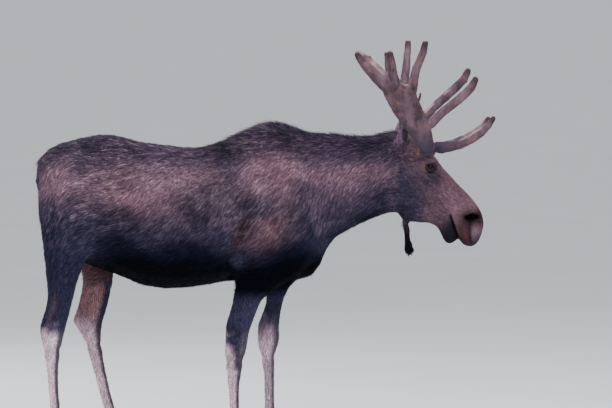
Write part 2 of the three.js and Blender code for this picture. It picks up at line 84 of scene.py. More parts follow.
def to_head(points):
    """Points as distance along the face, above its axis, and out from the middle on either side."""
    d = points - POLL
    return d @ ALONG, d @ ABOVE, np.abs(points[:, 1] - MID_Y)


def to_body(points):
    """Points as metres forward of the withers, out from the middle on either side, and up."""
    return points[:, 0] - WITHERS_X, np.abs(points[:, 1] - MID_Y), points[:, 2]


def srgb(red, green, blue):
    """A colour given as 0 to 255 display values, as linear light."""
    c = np.array([red, green, blue], float) / 255
    return np.where(c <= 0.04045, c / 12.92, ((c + 0.055) / 1.055) ** 2.4)


def smooth(low, high, value):
    """Smooth step from 0 at low to 1 at high."""
    t = np.clip((value - low) / (high - low), 0, 1)
    return t * t * (3 - 2 * t)


def mound(value, centre, radius):
    """A soft bell of height 1 at the centre."""
    return np.exp(-(((value - centre) / radius) ** 2))


# ---------------------------------------------------------------- mesh helpers
def mesh_arrays(mesh):
    """Vertex places and edges of a mesh as arrays."""
    points = np.empty(len(mesh.vertices) * 3)
    mesh.vertices.foreach_get("co", points)
    edges = np.empty(len(mesh.edges) * 2, int)
    mesh.edges.foreach_get("vertices", edges)
    return points.reshape(-1, 3), edges.reshape(-1, 2)


def set_points(mesh, points):
    """Writes vertex places back to a mesh."""
    mesh.vertices.foreach_set("co", np.ascontiguousarray(points, dtype=np.float32).ravel())
    mesh.update()


def normals_of(mesh):
    """Vertex normals as an array."""
    found = np.empty(len(mesh.vertices) * 3, np.float32)
    mesh.vertices.foreach_get("normal", found)
    return found.reshape(-1, 3).astype(float)


def spread(values, edges, rounds, share=0.5, keep=None):
    """Evens values over neighbouring vertices. Keep, from 0 to 1, holds a vertex back."""
    values = np.array(values, float)
    flat = values.ndim == 1
    if flat:
        values = values[:, None]
    count = np.bincount(edges.ravel(), minlength=len(values)).astype(float)[:, None]
    count[count == 0] = 1
    weight = share if keep is None else share * (1 - np.asarray(keep))[:, None]
    for _ in range(rounds):
        total = np.empty_like(values)
        for axis in range(values.shape[1]):
            column = values[:, axis]
            total[:, axis] = np.bincount(edges[:, 0], column[edges[:, 1]], len(values))
            total[:, axis] += np.bincount(edges[:, 1], column[edges[:, 0]], len(values))
        values += weight * (total / count - values)
    return values[:, 0] if flat else values


def add_values(mesh, name, kind, values):
    """Stores one value for each vertex as a named attribute."""
    found = mesh.attributes.get(name) or mesh.attributes.new(name, kind, "POINT")
    field = {"FLOAT": "value", "FLOAT_VECTOR": "vector", "FLOAT_COLOR": "color"}[kind]
    found.data.foreach_set(field, np.ascontiguousarray(values, dtype=np.float32).ravel())


def new_piece(name, mesh):
    """Puts a mesh in the scene as a piece that rides on the animal."""
    piece = bpy.data.objects.new(name, mesh)
    bpy.context.scene.collection.objects.link(piece)
    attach(piece, "root")
    return piece


def shade_smooth(mesh):
    """Shades every face of a mesh smoothly."""
    mesh.polygons.foreach_set("use_smooth", np.ones(len(mesh.polygons), bool))


def settled(piece):
    """What the piece's modifiers make, as a plain mesh of its own."""
    graph = bpy.context.evaluated_depsgraph_get()
    made = piece.evaluated_get(graph)
    return bpy.data.meshes.new_from_object(made, preserve_all_data_layers=True, depsgraph=graph)


# ---------------------------------------------------------------- skin
BODY_VOXEL = 0.0105
FLESH_GROW = 0.0009  # closes the gap between two solids
COAT_DEPTH = 0.007
FACE_DEPTH = 0.0028
CHEEK_DEPTH = 0.0105
SLIM_DEPTH = 0.0022  # ears and bell
TAIL_DEPTH = 0.004  # added to that on the tail
LEG_DEPTH = 0.0035
BELL_GROW = 0.0070  # the bell is so slim that the fused skin has to be grown back
TAIL_SHIFT = 0.014  # forward, into the rump


def fused_flesh(nodes, voxel, grow):
    """Copies the solids, grows each copy so that they touch, and fuses them into one surface."""
    joined = bmesh.new()
    tree_points, tree_faces, owner = [], [], []
    for index, node in enumerate(nodes):
        part = bmesh.new()
        part.from_mesh(NODES[node].data)
        bmesh.ops.remove_doubles(part, verts=part.verts, dist=2e-5)
        part.normal_update()
        start = len(tree_points)
        tree_points += [v.co.copy() for v in part.verts]
        tree_faces += [[start + v.index for v in f.verts] for f in part.faces]
        owner += [index] * len(part.faces)
        for v in part.verts:
            v.co += v.normal * grow
        copy = bpy.data.meshes.new("copy")
        part.to_mesh(copy)
        part.free()
        joined.from_mesh(copy)
        bpy.data.meshes.remove(copy)
    mesh = bpy.data.meshes.new("skin")
    joined.to_mesh(mesh)
    joined.free()
    holder = bpy.data.objects.new("flesh_holder", mesh)
    bpy.context.scene.collection.objects.link(holder)
    remesh = holder.modifiers.new("fuse", "REMESH")
    remesh.mode = "VOXEL"
    remesh.voxel_size = voxel
    remesh.adaptivity = 0.0
    fused = settled(holder)
    bpy.data.objects.remove(holder)
    bpy.data.meshes.remove(mesh)
    tree = BVHTree.FromPolygons(tree_points, tree_faces)
    return fused, tree, np.array(owner)


def owners_of(points, tree, owner):
    """Which solid each point lies nearest to."""
    found = np.empty(len(points), int)
    for i, point in enumerate(points):
        _, _, face, _ = tree.find_nearest(Vector(point))
        found[i] = owner[face]
    return found


def refine(mesh, chosen):
    """Splits the faces whose vertices are all chosen into four."""
    work = bmesh.new()
    work.from_mesh(mesh)
    work.verts.ensure_lookup_table()
    picked = {e for f in work.faces if all(chosen[v.index] for v in f.verts) for e in f.edges}
    bmesh.ops.subdivide_edges(work, edges=list(picked), cuts=1, use_grid_fill=True, smooth=0.0)
    bmesh.ops.triangulate(work, faces=[f for f in work.faces if len(f.verts) > 4])
    work.to_mesh(mesh)
    work.free()
    mesh.update()


# Soft rises and hollows of the body under the skin, on both sides:
# forward and up of the middle, their radii, and the height, in metres.
BODY_FORMS = (
    (0.060, 1.470, 0.120, 0.190, 0.0132),  # shoulder blade
    (-0.045, 1.230, 0.100, 0.120, 0.0154),  # triceps
    (0.190, 1.190, 0.070, 0.100, 0.0132),  # point of the shoulder
    (0.060, 1.240, 0.035, 0.150, -0.0116),  # groove ahead of the triceps
    (-0.190, 1.330, 0.050, 0.190, -0.0203),  # hollow behind the shoulder
    (-0.150, 1.060, 0.045, 0.055, 0.0110),  # elbow
    (-0.205, 1.040, 0.035, 0.090, -0.0174),  # fold behind the elbow
    (-0.430, 1.250, 0.180, 0.180, 0.0088),  # barrel of the ribs
    (-0.735, 1.400, 0.075, 0.130, -0.0261),  # flank hollow
    (-0.790, 1.600, 0.070, 0.045, 0.0132),  # point of the hip
    (-0.930, 1.560, 0.075, 0.075, -0.0145),  # hollow between hip and rump
    (-0.985, 1.330, 0.110, 0.160, 0.0132),  # thigh
    (-0.840, 1.170, 0.060, 0.080, 0.0132),  # stifle
    (-1.085, 1.220, 0.022, 0.190, -0.0145),  # groove of the hamstrings
    (-1.130, 1.560, 0.040, 0.040, 0.0132),  # seat bone
    (0.420, 1.330, 0.200, 0.030, 0.0088),  # long muscle under the neck
    (0.420, 1.275, 0.180, 0.018, -0.0087),  # groove under it
    (0.330, 1.560, 0.200, 0.060, 0.0088),  # crest muscle of the neck
)


def held(rise, most):
    """Levels a rise off below the depth of the coat, so that the skin stays inside the solids."""
    high = np.maximum(rise, 0)
    return np.minimum(rise, 0) + high / (1 + (high / most) ** 4) ** 0.25


def shape_body(points, normals, part):
    """Adds the muscles and hollows, and the ribs' faint ripple."""
    forward, out, up = to_body(points)
    rise = np.zeros(len(points))
    for x, z, rx, rz, height in BODY_FORMS:
        fall = mound(forward, x, rx) * mound(up, z, rz) * smooth(0.02, 0.09, out)
        rise += height * fall
    torso = part["trunk"]
    ripple = np.sin((forward + 0.35 * up) * 2 * math.pi / 0.085)
    rise += 0.0018 * ripple * torso * mound(forward, -0.42, 0.22) * mound(up, 1.22, 0.16)
    return points + normals * held(rise, COAT_DEPTH)[:, None]


# Forms of a leg: height above the sole, its radius, place from the leg's rear (-1) to its front (1),
# the radius of that, the rise, and whether the flat sides alone carry it. No place means all round.
FORE_FORMS = (
    (0.655, 0.045, 0.75, 0.50, 0.006, False),  # front of the knee
    (0.575, 0.025, None, None, -0.005, False),  # dip under the knee
    (0.770, 0.060, 0.30, 0.40, 0.007, True),  # muscle of the forearm
)
HIND_FORMS = (
    (0.815, 0.075, -0.35, 0.25, -0.013, False),  # hollow ahead of the heel cord
    (0.700, 0.045, 0.10, 0.35, 0.006, True),  # side of the hock
    (0.635, 0.020, None, None, -0.004, False),  # dip under the hock
)
FOOT_FORMS = (
    (0.195, 0.025, None, None, 0.005, False),  # fetlock
    (0.118, 0.020, None, None, -0.006, False),  # pastern
    (0.172, 0.030, -1.0, 0.40, 0.014, False),  # cushion that carries the dewclaws
    (0.082, 0.012, None, None, 0.004, False),  # hem above the hooves
)
# The groove ahead of the tendons: its depth, and the heights between which it fades out at the top.
TENDON_GROOVE = {"fore": (0.006, 0.54, 0.60), "hind": (0.005, 0.56, 0.63)}


def shape_legs(points, normals, leg_at):
    """Tendon grooves, knees, hocks, fetlocks, and the dip above each hoof."""
    rise = np.zeros(len(points))
    for name, (weight, place, up) in leg_at.items():
        end = name.split("_")[0]
        side_on = np.clip(1 - place**2, 0, 1)
        forms = (FORE_FORMS if end == "fore" else HIND_FORMS) + FOOT_FORMS
        for z, rz, at, reach, height, flat_sides in forms:
            form = weight * height * mound(up, z, rz)
            if at is not None:
                form = form * mound(place, at, reach)
            rise += form * side_on if flat_sides else form
        depth, low, high = TENDON_GROOVE[end]
        shaft = smooth(0.20, 0.27, up) * (1 - smooth(low, high, up))
        rise -= weight * depth * mound(place, -0.35, 0.22) * shaft
    return points + normals * rise[:, None]


# Forms of the head on both sides: place along the face and above its axis, its radii, and the height.
HEAD_FORMS = (
    (0.112, 0.030, 0.036, 0.020, 0.0101),  # brow over the eye
    (0.120, -0.036, 0.040, 0.016, 0.0058),  # bag under the eye
    (0.172, 0.004, 0.020, 0.012, -0.0101),  # tear pit in front of the eye
    (0.200, -0.040, 0.080, 0.014, 0.0101),  # cheek ridge
    (0.205, -0.150, 0.070, 0.060, 0.0116),  # chewing muscle
    (0.262, -0.110, 0.018, 0.070, -0.0087),  # its front edge
    (0.110, -0.110, 0.030, 0.040, -0.0087),  # hollow behind the jaw
    (0.290, 0.030, 0.070, 0.030, -0.0072),  # dip beside the nose bone
    (0.330, -0.020, 0.060, 0.018, 0.0058),  # lip muscle
    (0.462, 0.030, 0.040, 0.016, 0.0080),  # upper rim of the nostril
    (0.500, -0.010, 0.020, 0.030, 0.0070),  # front rim of the nostril
    (0.400, -0.015, 0.022, 0.026, 0.0043),  # back rim of the nostril
    (0.540, -0.050, 0.030, 0.030, 0.0087),  # side cushion of the upper lip
    (0.430, -0.052, 0.050, 0.014, 0.0058),  # edge of the upper lip
    (0.400, -0.030, 0.030, 0.010, -0.0043),  # crease behind the nostril
    (0.455, -0.125, 0.040, 0.022, 0.0072),  # lower lip and chin
    (0.352, -0.110, 0.020, 0.040, -0.0072),  # crease under the mouth's corner
)
# Lines on the face, as places along it and above its axis.
MOUTH = (
    (0.372, -0.050),
    (0.405, -0.061),
    (0.440, -0.073),
    (0.480, -0.087),
    (0.520, -0.098),
    (0.560, -0.100),
)
NOSTRIL = ((0.446, 0.002), (0.455, 0.016), (0.466, 0.029), (0.475, 0.041))
NOSTRIL_WIDE = (0.0130, 0.0225, 0.0215, 0.0120)
NOSTRIL_DEPTH = 0.033
NOSTRIL_RIM = 0.0060
LIP_RIM = 0.0035
LIP_GROOVE = 0.004
NOSTRIL_GROOVE = ((0.462, 0.004), (0.484, -0.014), (0.516, -0.038), (0.556, -0.061))


def from_line(along, above, corners):
    """Distance from a bent line on the face, how far along it the nearest place is, and which side."""
    best = np.full(len(along), 9.0)
    place = np.zeros(len(along))
    over = np.zeros(len(along))
    last = len(corners) - 1
    for i in range(last):
        (a0, b0), (a1, b1) = corners[i], corners[i + 1]
        da, db = a1 - a0, b1 - b0
        t = np.clip(((along - a0) * da + (above - b0) * db) / (da * da + db * db), 0, 1)
        gap = np.hypot(along - a0 - t * da, above - b0 - t * db)
        nearer = gap < best
        best = np.where(nearer, gap, best)
        place = np.where(nearer, (i + t) / last, place)
        over = np.where(nearer, (above - b0) * da - (along - a0) * db, over)
    return best, place, np.sign(over)


def shape_head(points, normals, head):
    """Brow, cheeks, nostrils, lips and the mouth's slit."""
    along, above, out = to_head(points)
    rise = np.zeros(len(points))
    sides = smooth(0.010, 0.040, out)
    for a, b, ra, rb, height in HEAD_FORMS:
        rise += height * mound(along, a, ra) * mound(above, b, rb) * sides
    lip_groove = mound(out, 0, 0.010) * mound(along, 0.530, 0.040) * smooth(-0.02, 0.02, above)
    rise -= LIP_GROOVE * lip_groove
    gap, place, over = from_line(along, above, MOUTH)
    slit = np.exp(-((gap / (0.0035 + 0.0035 * place)) ** 2)) * smooth(0.0, 0.12, place) * head
    rise -= (0.011 + 0.007 * place) * slit * sides
    lip = np.exp(-(((gap - 0.012) / 0.007) ** 2)) * smooth(0.05, 0.3, place) * (over > 0)
    rise += LIP_RIM * lip * head
    gap, place, over = from_line(along, above, NOSTRIL)
    wide = np.interp(place, np.linspace(0, 1, len(NOSTRIL_WIDE)), NOSTRIL_WIDE)
    rim = np.exp(-(((gap - wide - 0.007) / 0.006) ** 2)) * (0.6 + 0.4 * over)
    rise += NOSTRIL_RIM * rim * sides
    moved = points + normals * (held(rise, CHEEK_DEPTH) * head)[:, None]

    depth = (1 - smooth(wide * 0.25, wide + 0.003, gap)) * head * sides
    inwards = np.zeros_like(points)
    inwards[:, 1] = -np.sign(points[:, 1] - MID_Y)
    inwards -= 0.25 * ALONG
    moved += inwards * (NOSTRIL_DEPTH * depth)[:, None]
    gap, place, _ = from_line(along, above, NOSTRIL_GROOVE)
    wide = 0.009 - 0.004 * place
    moved -= normals * ((0.011 - 0.007 * place) * np.exp(-((gap / wide) ** 2)) * head * sides)[:, None]
    return moved, depth


LID_THICK = 0.0038
LID_RIM = 0.0022
LID_CREASE = 0.0085  # how far the crease runs from the lid's edge
EYE_OPEN_LONG = 0.0200
EYE_OPEN_HIGH = 0.0118
EYE_REACH = 0.075  # the lids blend into the face within this
EYE_SINK = 0.006  # the skin behind the opening lies this far inside the eyeball


def shape_lids(points):
    """Lays the skin over each eyeball as two lids that leave an almond opening."""
    moved = points.copy()
    opened = np.zeros(len(points))
    for side, sign in SIDES.items():
        centre = EYES[side]
        outwards = np.array([0.16, sign, 0.10])
        outwards /= np.linalg.norm(outwards)
        corner = ALONG * 0.80 + ABOVE * 0.25
        corner -= outwards * (corner @ outwards)
        corner /= np.linalg.norm(corner)
        up = np.cross(outwards, corner)
        if up[2] < 0:
            up = -up
        d = points - centre
        reach = np.linalg.norm(d, axis=1)
        near = (reach < EYE_REACH) & (d @ outwards > -0.012)
        e = d[near]
        length = reach[near]
        unit = e / length[:, None]
        a = unit @ corner * EYE_RADIUS
        b = unit @ up * EYE_RADIUS
        front = unit @ outwards
        arch = np.clip(1 - (a / EYE_OPEN_LONG) ** 2, 0, 1)
        top = EYE_OPEN_HIGH * arch**0.6
        low = -EYE_OPEN_HIGH * 0.82 * arch**0.75
        inside = np.minimum(top - b, b - low)
        beyond = -np.maximum(np.abs(a) - EYE_OPEN_LONG, 0.0004)
        inside = np.where((np.abs(a) < EYE_OPEN_LONG) & (front > 0), inside, beyond)
        open_here = smooth(-0.0006, 0.0012, inside)
        lid = EYE_RADIUS + LID_THICK + LID_RIM * np.exp(-((inside + 0.0035) / 0.0022) ** 2)
        crease = np.exp(-((b - top - LID_CREASE) / 0.0018) ** 2)
        crease = crease + 0.6 * np.exp(-((b - low + LID_CREASE) / 0.0020) ** 2)
        lid = lid - LID_RIM * crease * (front > 0.2)
        wanted = np.where(open_here > 0.5, EYE_RADIUS - EYE_SINK, lid)
        away = np.hypot(a, b) + (1 - np.clip(front, 0, 1)) * 0.012 + np.abs(length - lid) * 0.25
        blend = 1 - smooth(EYE_RADIUS * 0.96, EYE_RADIUS * 1.75, away)
        target = centre + unit * wanted[:, None]
        moved[near] += (target - points[near]) * blend[:, None]
        opened[near] = np.maximum(opened[near], open_here * blend)
    return moved, opened


# ---------------------------------------------------------------- markings, shared by skin and coat
SADDLE = srgb(99, 82, 99)
FLANK = srgb(132, 100, 108)
SMOKE = srgb(82, 71, 90)
DARK = srgb(49, 50, 72)
DEEP = srgb(22, 26, 48)
# Black belly hair, darkened further as painted shadow under the body.
BELLY_AND_SHADOW = srgb(2, 4, 15)
RIDGE = srgb(58, 50, 68)
# Dark spine hair under a painted bluish sheen of the sky.
SPINE_SKY_SHEEN = srgb(62, 54, 74)
HIGHLIGHT = srgb(174, 136, 147)
# Painted shade for the crease behind the upper arm.
CREASE_SHADE = srgb(54, 34, 34)
# Painted bluish highlight of the sky for the point of the elbow.
ELBOW_SKY_SHEEN = srgb(96, 98, 128)
# Pale hair tips with a painted glint on them.
STREAK_GLINT = srgb(206, 176, 184)
MUZZLE = srgb(130, 101, 113)
NOSE = srgb(133, 109, 123)
# Dark hair round the nostril, with painted shade of its hollow.
NOSTRIL_SHADE_HALO = srgb(46, 29, 30)
LIP_BROWN = srgb(122, 76, 70)
SHANK = srgb(240, 212, 225)
SHANK_DARK = srgb(104, 94, 108)
SHANK_SPOT = srgb(255, 242, 250)
UPPER_LEG = srgb(56, 55, 79)
INNER_THIGH = srgb(142, 108, 112)
EAR_PALE = srgb(186, 164, 158)
EYE_RING = srgb(116, 86, 82)
LID_SKIN = srgb(8, 6, 7)
# Painted shade for the mouth's slit, the nostrils and the groove below them.
HOLLOW_SHADE = srgb(12, 8, 10)
BELL_DARK = srgb(16, 15, 22)
CHIN = srgb(22, 25, 36)
ANTLER_FOOT = srgb(138, 96, 82)
VELVET = srgb(58, 45, 54)
VELVET_PALE = srgb(112, 89, 99)
VELVET_RUST = srgb(136, 94, 88)
VELVET_FOOT = srgb(44, 38, 56)
VELVET_TIP = srgb(50, 36, 42)
# Pale nap, laid as a painted highlight where the velvet faces up.
VELVET_LIT_NAP = srgb(186, 158, 156)
VELVET_SHEEN = srgb(226, 200, 190)
HORN_DARK = srgb(26, 23, 24)
HORN = srgb(52, 46, 45)
HORN_WORN = srgb(96, 86, 78)


# Marks of the body's sides: forward and up of their middle, radii, colour and strength. The highlight marks
# are painted highlights over paler hair on shoulder, flank, over the ribs, rump and neck; the dark marks
# behind the hip, behind the shoulder and in the fold before the shoulder blade are painted shade in those
# hollows.
BODY_MARKS = (
    (0.035, 1.545, 0.190, 0.190, "highlight", 0.75),  # shoulder
    (-0.686, 1.395, 0.210, 0.120, "highlight", 0.65),  # flank
    (-0.460, 1.490, 0.200, 0.060, "highlight", 0.40),  # above the ribs
    (-1.022, 1.523, 0.130, 0.085, "highlight", 0.50),  # rump
    (-0.920, 1.590, 0.070, 0.070, "dark", 0.65),  # behind the hip
    (-0.210, 1.520, 0.065, 0.080, "dark", 0.60),  # behind the shoulder, high
    (-0.120, 1.360, 0.075, 0.100, "dark", 0.60),  # behind the shoulder, low
    (-0.320, 1.340, 0.180, 0.090, "smoke", 0.70),  # ribs
    (-0.985, 1.280, 0.150, 0.170, "dark", 0.90),  # thigh
    (0.190, 1.250, 0.090, 0.190, "dark", 0.80),  # front of the shoulder
    (0.440, 1.520, 0.150, 0.085, "highlight", 0.45),  # side of the neck
    (0.150, 1.430, 0.050, 0.090, "dark", 0.45),  # fold before the shoulder blade
)
# Marks of the upper arm, laid slanted: brown hair of the upper arm, and painted shade in the crease behind
# it.
ARM_MARKS = (
    (0.000, 1.235, 0.085, 0.090, "flank", 0.75),  # upper arm
    (-0.145, 1.210, 0.042, 0.095, "crease", 0.75),  # crease behind the arm
    (-0.100, 1.270, 0.060, 0.030, "crease", 0.35),  # where it starts
)


def patches(points, size, seed):
    """Smooth blotches from -1 to 1, as a sum of slanted waves."""
    draw = np.random.default_rng(seed)
    total = np.zeros(len(points))
    for _ in range(7):
        way = draw.normal(size=3)
        way /= np.linalg.norm(way)
        length = size * draw.uniform(0.7, 1.5)
        total += np.sin(points @ way * 2 * math.pi / length + draw.uniform(0, 6.28))
    return total / 3.2


def lay(colour, over, amount):
    """Lays a colour over another by an amount from 0 to 1."""
    amount = np.clip(amount, 0, 1)[:, None]
    return colour * (1 - amount) + over * amount


def chosen_tones():
    """The colours that the settings hold, and the fixed ones that the mark tables name."""
    chosen = settings()
    names = ("saddle", "flank", "dark", "belly", "shank", "muzzle_hair")
    tones = {name: np.array(getattr(chosen, name)) for name in names}
    tones.update(highlight=HIGHLIGHT, smoke=SMOKE, crease=CREASE_SHADE)
    return tones


def mark_trunk(colour, points, part, tones, blotch, fine):
    """Painted highlights over paler hair on shoulder, flank and rump, painted shade in the hollows behind
    shoulder and hip and in the crease behind the arm, a dark ridge, a dark spine band under a painted
    bluish sky sheen, a painted bluish sheen on the elbow, and a lower half that darkens to a black belly
    deepened by painted shadow.
    """
    forward, out, up = to_body(points)
    level = up + 0.030 * blotch + 0.015 * fine
    dark = tones["dark"]
    # Lays the body marks: hair colour, painted highlights and painted shade.
    for x, z, rx, rz, tone, amount in BODY_MARKS:
        colour = lay(colour, tones[tone], mound(forward, x, rx) * mound(level, z, rz) * amount)
    # A dark band along the spine; its blue-grey is partly a painted sheen of the sky.
    spine = (1 - smooth(0.10, 0.22, out + 0.02 * blotch)) * smooth(1.50, 1.60, up)
    colour = lay(colour, SPINE_SKY_SHEEN, spine * 0.85)
    colour = lay(colour, dark, (1 - smooth(1.20, 1.36, level - 0.10 * mound(forward, -0.02, 0.13))) * 0.85)
    colour = lay(colour, DEEP, (1 - smooth(1.10, 1.26, level - 0.06 * mound(forward, -0.02, 0.13))) * 0.92)
    # Slanted arm marks; the crease marks are painted shade.
    for x, z, rx, rz, tone, amount in ARM_MARKS:
        slanted = mound(forward - 0.35 * (up - z), x, rx) * mound(up, z, rz)
        colour = lay(colour, tones[tone], slanted * amount * smooth(0.08, 0.16, out))
    rear = 1 - smooth(-1.12, -1.00, forward)
    colour = lay(colour, dark, rear * (1 - smooth(1.34, 1.48, level)) * 0.8)
    thigh = mound(forward, -0.990, 0.190) * smooth(0.85, 1.0, up) * (1 - smooth(1.26, 1.42, level))
    colour = lay(colour, dark, thigh * 0.85 * smooth(0.08, 0.16, out))
    # The belly: black hair, its black deepened as painted shadow.
    low = (1 - smooth(1.04, 1.17, level)) * (1 - smooth(0.20, 0.30, out) * 0.15)
    colour = lay(colour, tones["belly"], low * smooth(-0.92, -0.84, forward) * part["trunk"])
    # Painted bluish highlight of the sky on the point of the elbow.
    elbow = mound(forward, -0.152, 0.032) * mound(up, 1.085, 0.035) * smooth(0.1, 0.15, out)
    colour = lay(colour, ELBOW_SKY_SHEEN, elbow * 0.4)
    ridge = (1 - smooth(0.02, 0.085, out + 0.02 * fine)) * smooth(1.50, 1.60, up)
    ridge = ridge * (part["trunk"] + part["neck"])
    colour = lay(colour, RIDGE, ridge * smooth(-0.42, -0.20, forward))
    facing = np.where(points[:, 1] > MID_Y, part["face_hind_left"], part["face_hind_right"])
    groin = mound(forward, -0.865, 0.080) * (1 - smooth(1.03, 1.10, up)) * part["trunk"]
    return lay(colour, INNER_THIGH * 0.55, groin * smooth(0.0, 0.5, -facing))


def mark_neck(colour, points, part, tones, blotch, fine):
    """A neck that darkens towards the throat."""
    forward, _, up = to_body(points)
    level = up + 0.030 * blotch + 0.015 * fine
    neck = np.clip(part["neck"], 0, 1)
    ahead = forward - 0.3
    colour = lay(colour, SMOKE, neck * (1 - smooth(1.36, 1.52, level)) * 0.85)
    colour = lay(colour, tones["dark"], neck * (1 - smooth(1.26, 1.40, level - 0.15 * ahead)) * 0.85)
    return lay(colour, DEEP, neck * (1 - smooth(1.18, 1.31, level - 0.25 * ahead)) * 0.85)


def mark_face(colour, points, part, tones):
    """Dark jaw, brown muzzle, dark hair and painted shade of the hollow round the nostril, its pad and lip,
    and painted shade in the groove below it.
    """
    along, above, out = to_head(points)
    saddle, flank, muzzle_hair = (tones[name] for name in ("saddle", "flank", "muzzle_hair"))
    head = np.clip(part["head"], 0, 1)
    side_of = smooth(0.035, 0.070, out)
    colour = lay(colour, muzzle_hair * 0.55, head * 0.8)
    colour = lay(colour, saddle * 0.9, head * mound(along, 0.10, 0.11) * mound(above, -0.06, 0.09) * 0.6)
    jaw = 1 - smooth(-0.15, -0.03, above + 0.14 * smooth(0.20, 0.40, along))
    colour = lay(colour, tones["dark"], head * jaw * 0.85)
    colour = lay(colour, muzzle_hair, head * smooth(0.20, 0.36, along) * smooth(-0.09, 0.0, above) * 0.85)
    bone = smooth(0.02, 0.06, above) * smooth(0.10, 0.2, along) * (1 - smooth(0.36, 0.44, along))
    colour = lay(colour, flank * 0.75, head * bone * 0.55)
    behind_nostril = mound(along, 0.410, 0.026) * mound(above, -0.018, 0.026)
    colour = lay(colour, flank * 1.25, head * behind_nostril * 0.75)
    # Dark hair over the nose's front and round the nostril, with painted shade of the nostril's hollow.
    colour = lay(colour, NOSTRIL_SHADE_HALO, head * mound(along, 0.500, 0.075) * smooth(0.43, 0.47, along) * 0.7)
    gap, _, _ = from_line(along, above, NOSTRIL)
    colour = lay(colour, NOSTRIL_SHADE_HALO * 0.6, head * mound(gap, 0, 0.044) * 0.9)
    colour = lay(colour, NOSE, head * mound(along, 0.524, 0.026) * mound(above, -0.004, 0.030) * 0.9)
    upper_lip = mound(along, 0.508, 0.026) * mound(above, -0.060, 0.020)
    colour = lay(colour, LIP_BROWN, head * upper_lip * 0.85 * side_of)
    # Painted shade in the groove that runs down from the nostril.
    gap, _, _ = from_line(along, above, NOSTRIL_GROOVE)
    colour = lay(colour, HOLLOW_SHADE, head * mound(gap, 0, 0.011) * 0.9 * side_of)
    return lay(colour, DEEP, head * mound(along, 0.580, 0.022) * 0.7)


def mark_eyes(colour, points, part, tones):
    """Round each eye: dark socket, pale crescent, brow, fold, and the brown foot of the antler."""
    head = np.clip(part["head"], 0, 1)
    side_of = smooth(0.035, 0.070, to_head(points)[2])
    for side, sign in SIDES.items():
        ahead, _, higher = (points - EYES[side]).T
        here = head * side_of * (sign * (points[:, 1] - MID_Y) > 0)
        socket = mound(ahead, 0.012, 0.050) * mound(higher, -0.062, 0.045)
        colour = lay(colour, tones["dark"], here * socket * 0.65)
        crescent = mound(ahead, -0.033 + 6.0 * higher**2, 0.010) * mound(higher, 0.0, 0.034)
        colour = lay(colour, EYE_RING, here * crescent * 0.9)
        brow = mound(ahead - 0.5 * higher, 0.008, 0.030) * mound(higher, 0.033, 0.008)
        colour = lay(colour, tones["saddle"] * 1.35, here * brow * 0.7)
        fold = mound(ahead, 0.031, 0.009) * mound(higher, 0.000, 0.022)
        fold = np.maximum(fold, mound(ahead, 0.004, 0.030) * mound(higher, -0.024, 0.006))
        colour = lay(colour, LID_SKIN * 2, here * fold * 0.85)
        foot = mound(ahead, -0.048, 0.010) * mound(higher, 0.072, 0.020)
        colour = lay(colour, ANTLER_FOOT, here * foot * 0.75)
    return colour


def mark_openings(colour, points, part, tones, opened, nostril):
    """Painted shade in the mouth's slit, a pale lip and a dark chin, dark lids, and painted shade inside
    the nostrils.
    """
    along, above, _ = to_head(points)
    head = np.clip(part["head"], 0, 1)
    gap, place, over = from_line(along, above, MOUTH)
    rim = mound(gap, 0.009, 0.006) * (over > 0) * (1 - smooth(0.5, 0.8, place))
    colour = lay(colour, tones["saddle"] * 1.7, head * rim * 0.6)
    colour = lay(colour, CHIN, head * (over < 0) * smooth(0.37, 0.44, along) * (gap < 0.09) * 0.9)
    # Painted shade in the mouth's slit.
    colour = lay(colour, HOLLOW_SHADE, head * mound(gap, 0, 0.007 + 0.004 * place) * smooth(0.0, 0.1, place))
    colour = lay(colour, LID_SKIN, opened)
    for side in SIDES:
        gap = np.linalg.norm(points - EYES[side], axis=1)
        colour = lay(colour, LID_SKIN, (1 - smooth(EYE_RADIUS + 0.003, EYE_RADIUS + 0.011, gap)) * 0.92)
    # Painted shade inside the nostrils.
    return lay(colour, HOLLOW_SHADE, nostril * 1.3)


def mark_ears(colour, points, part, tones):
    """Ears pale behind, dark on their front half, with pale tufts inside."""
    ears = np.clip(part["ear_right"] + part["ear_left"], 0, 1)
    colour = lay(colour, tones["saddle"] * 1.6, ears)
    ear_x = {side: float(box_centre(f"ear_{side}")[0]) for side in SIDES}
    middle = np.where(points[:, 1] > MID_Y, ear_x["left"], ear_x["right"])
    turned = smooth(0.000, 0.014, points[:, 0] - middle)
    colour = lay(colour, BELL_DARK * 2.5, turned * ears * 0.8)
    inside = part["ear_inside"]
    colour = lay(colour, BELL_DARK * 2, inside * ears * 0.9)
    return lay(colour, EAR_PALE, inside * ears * smooth(-0.2, 0.5, patches(points, 0.035, 9)) * 0.75)


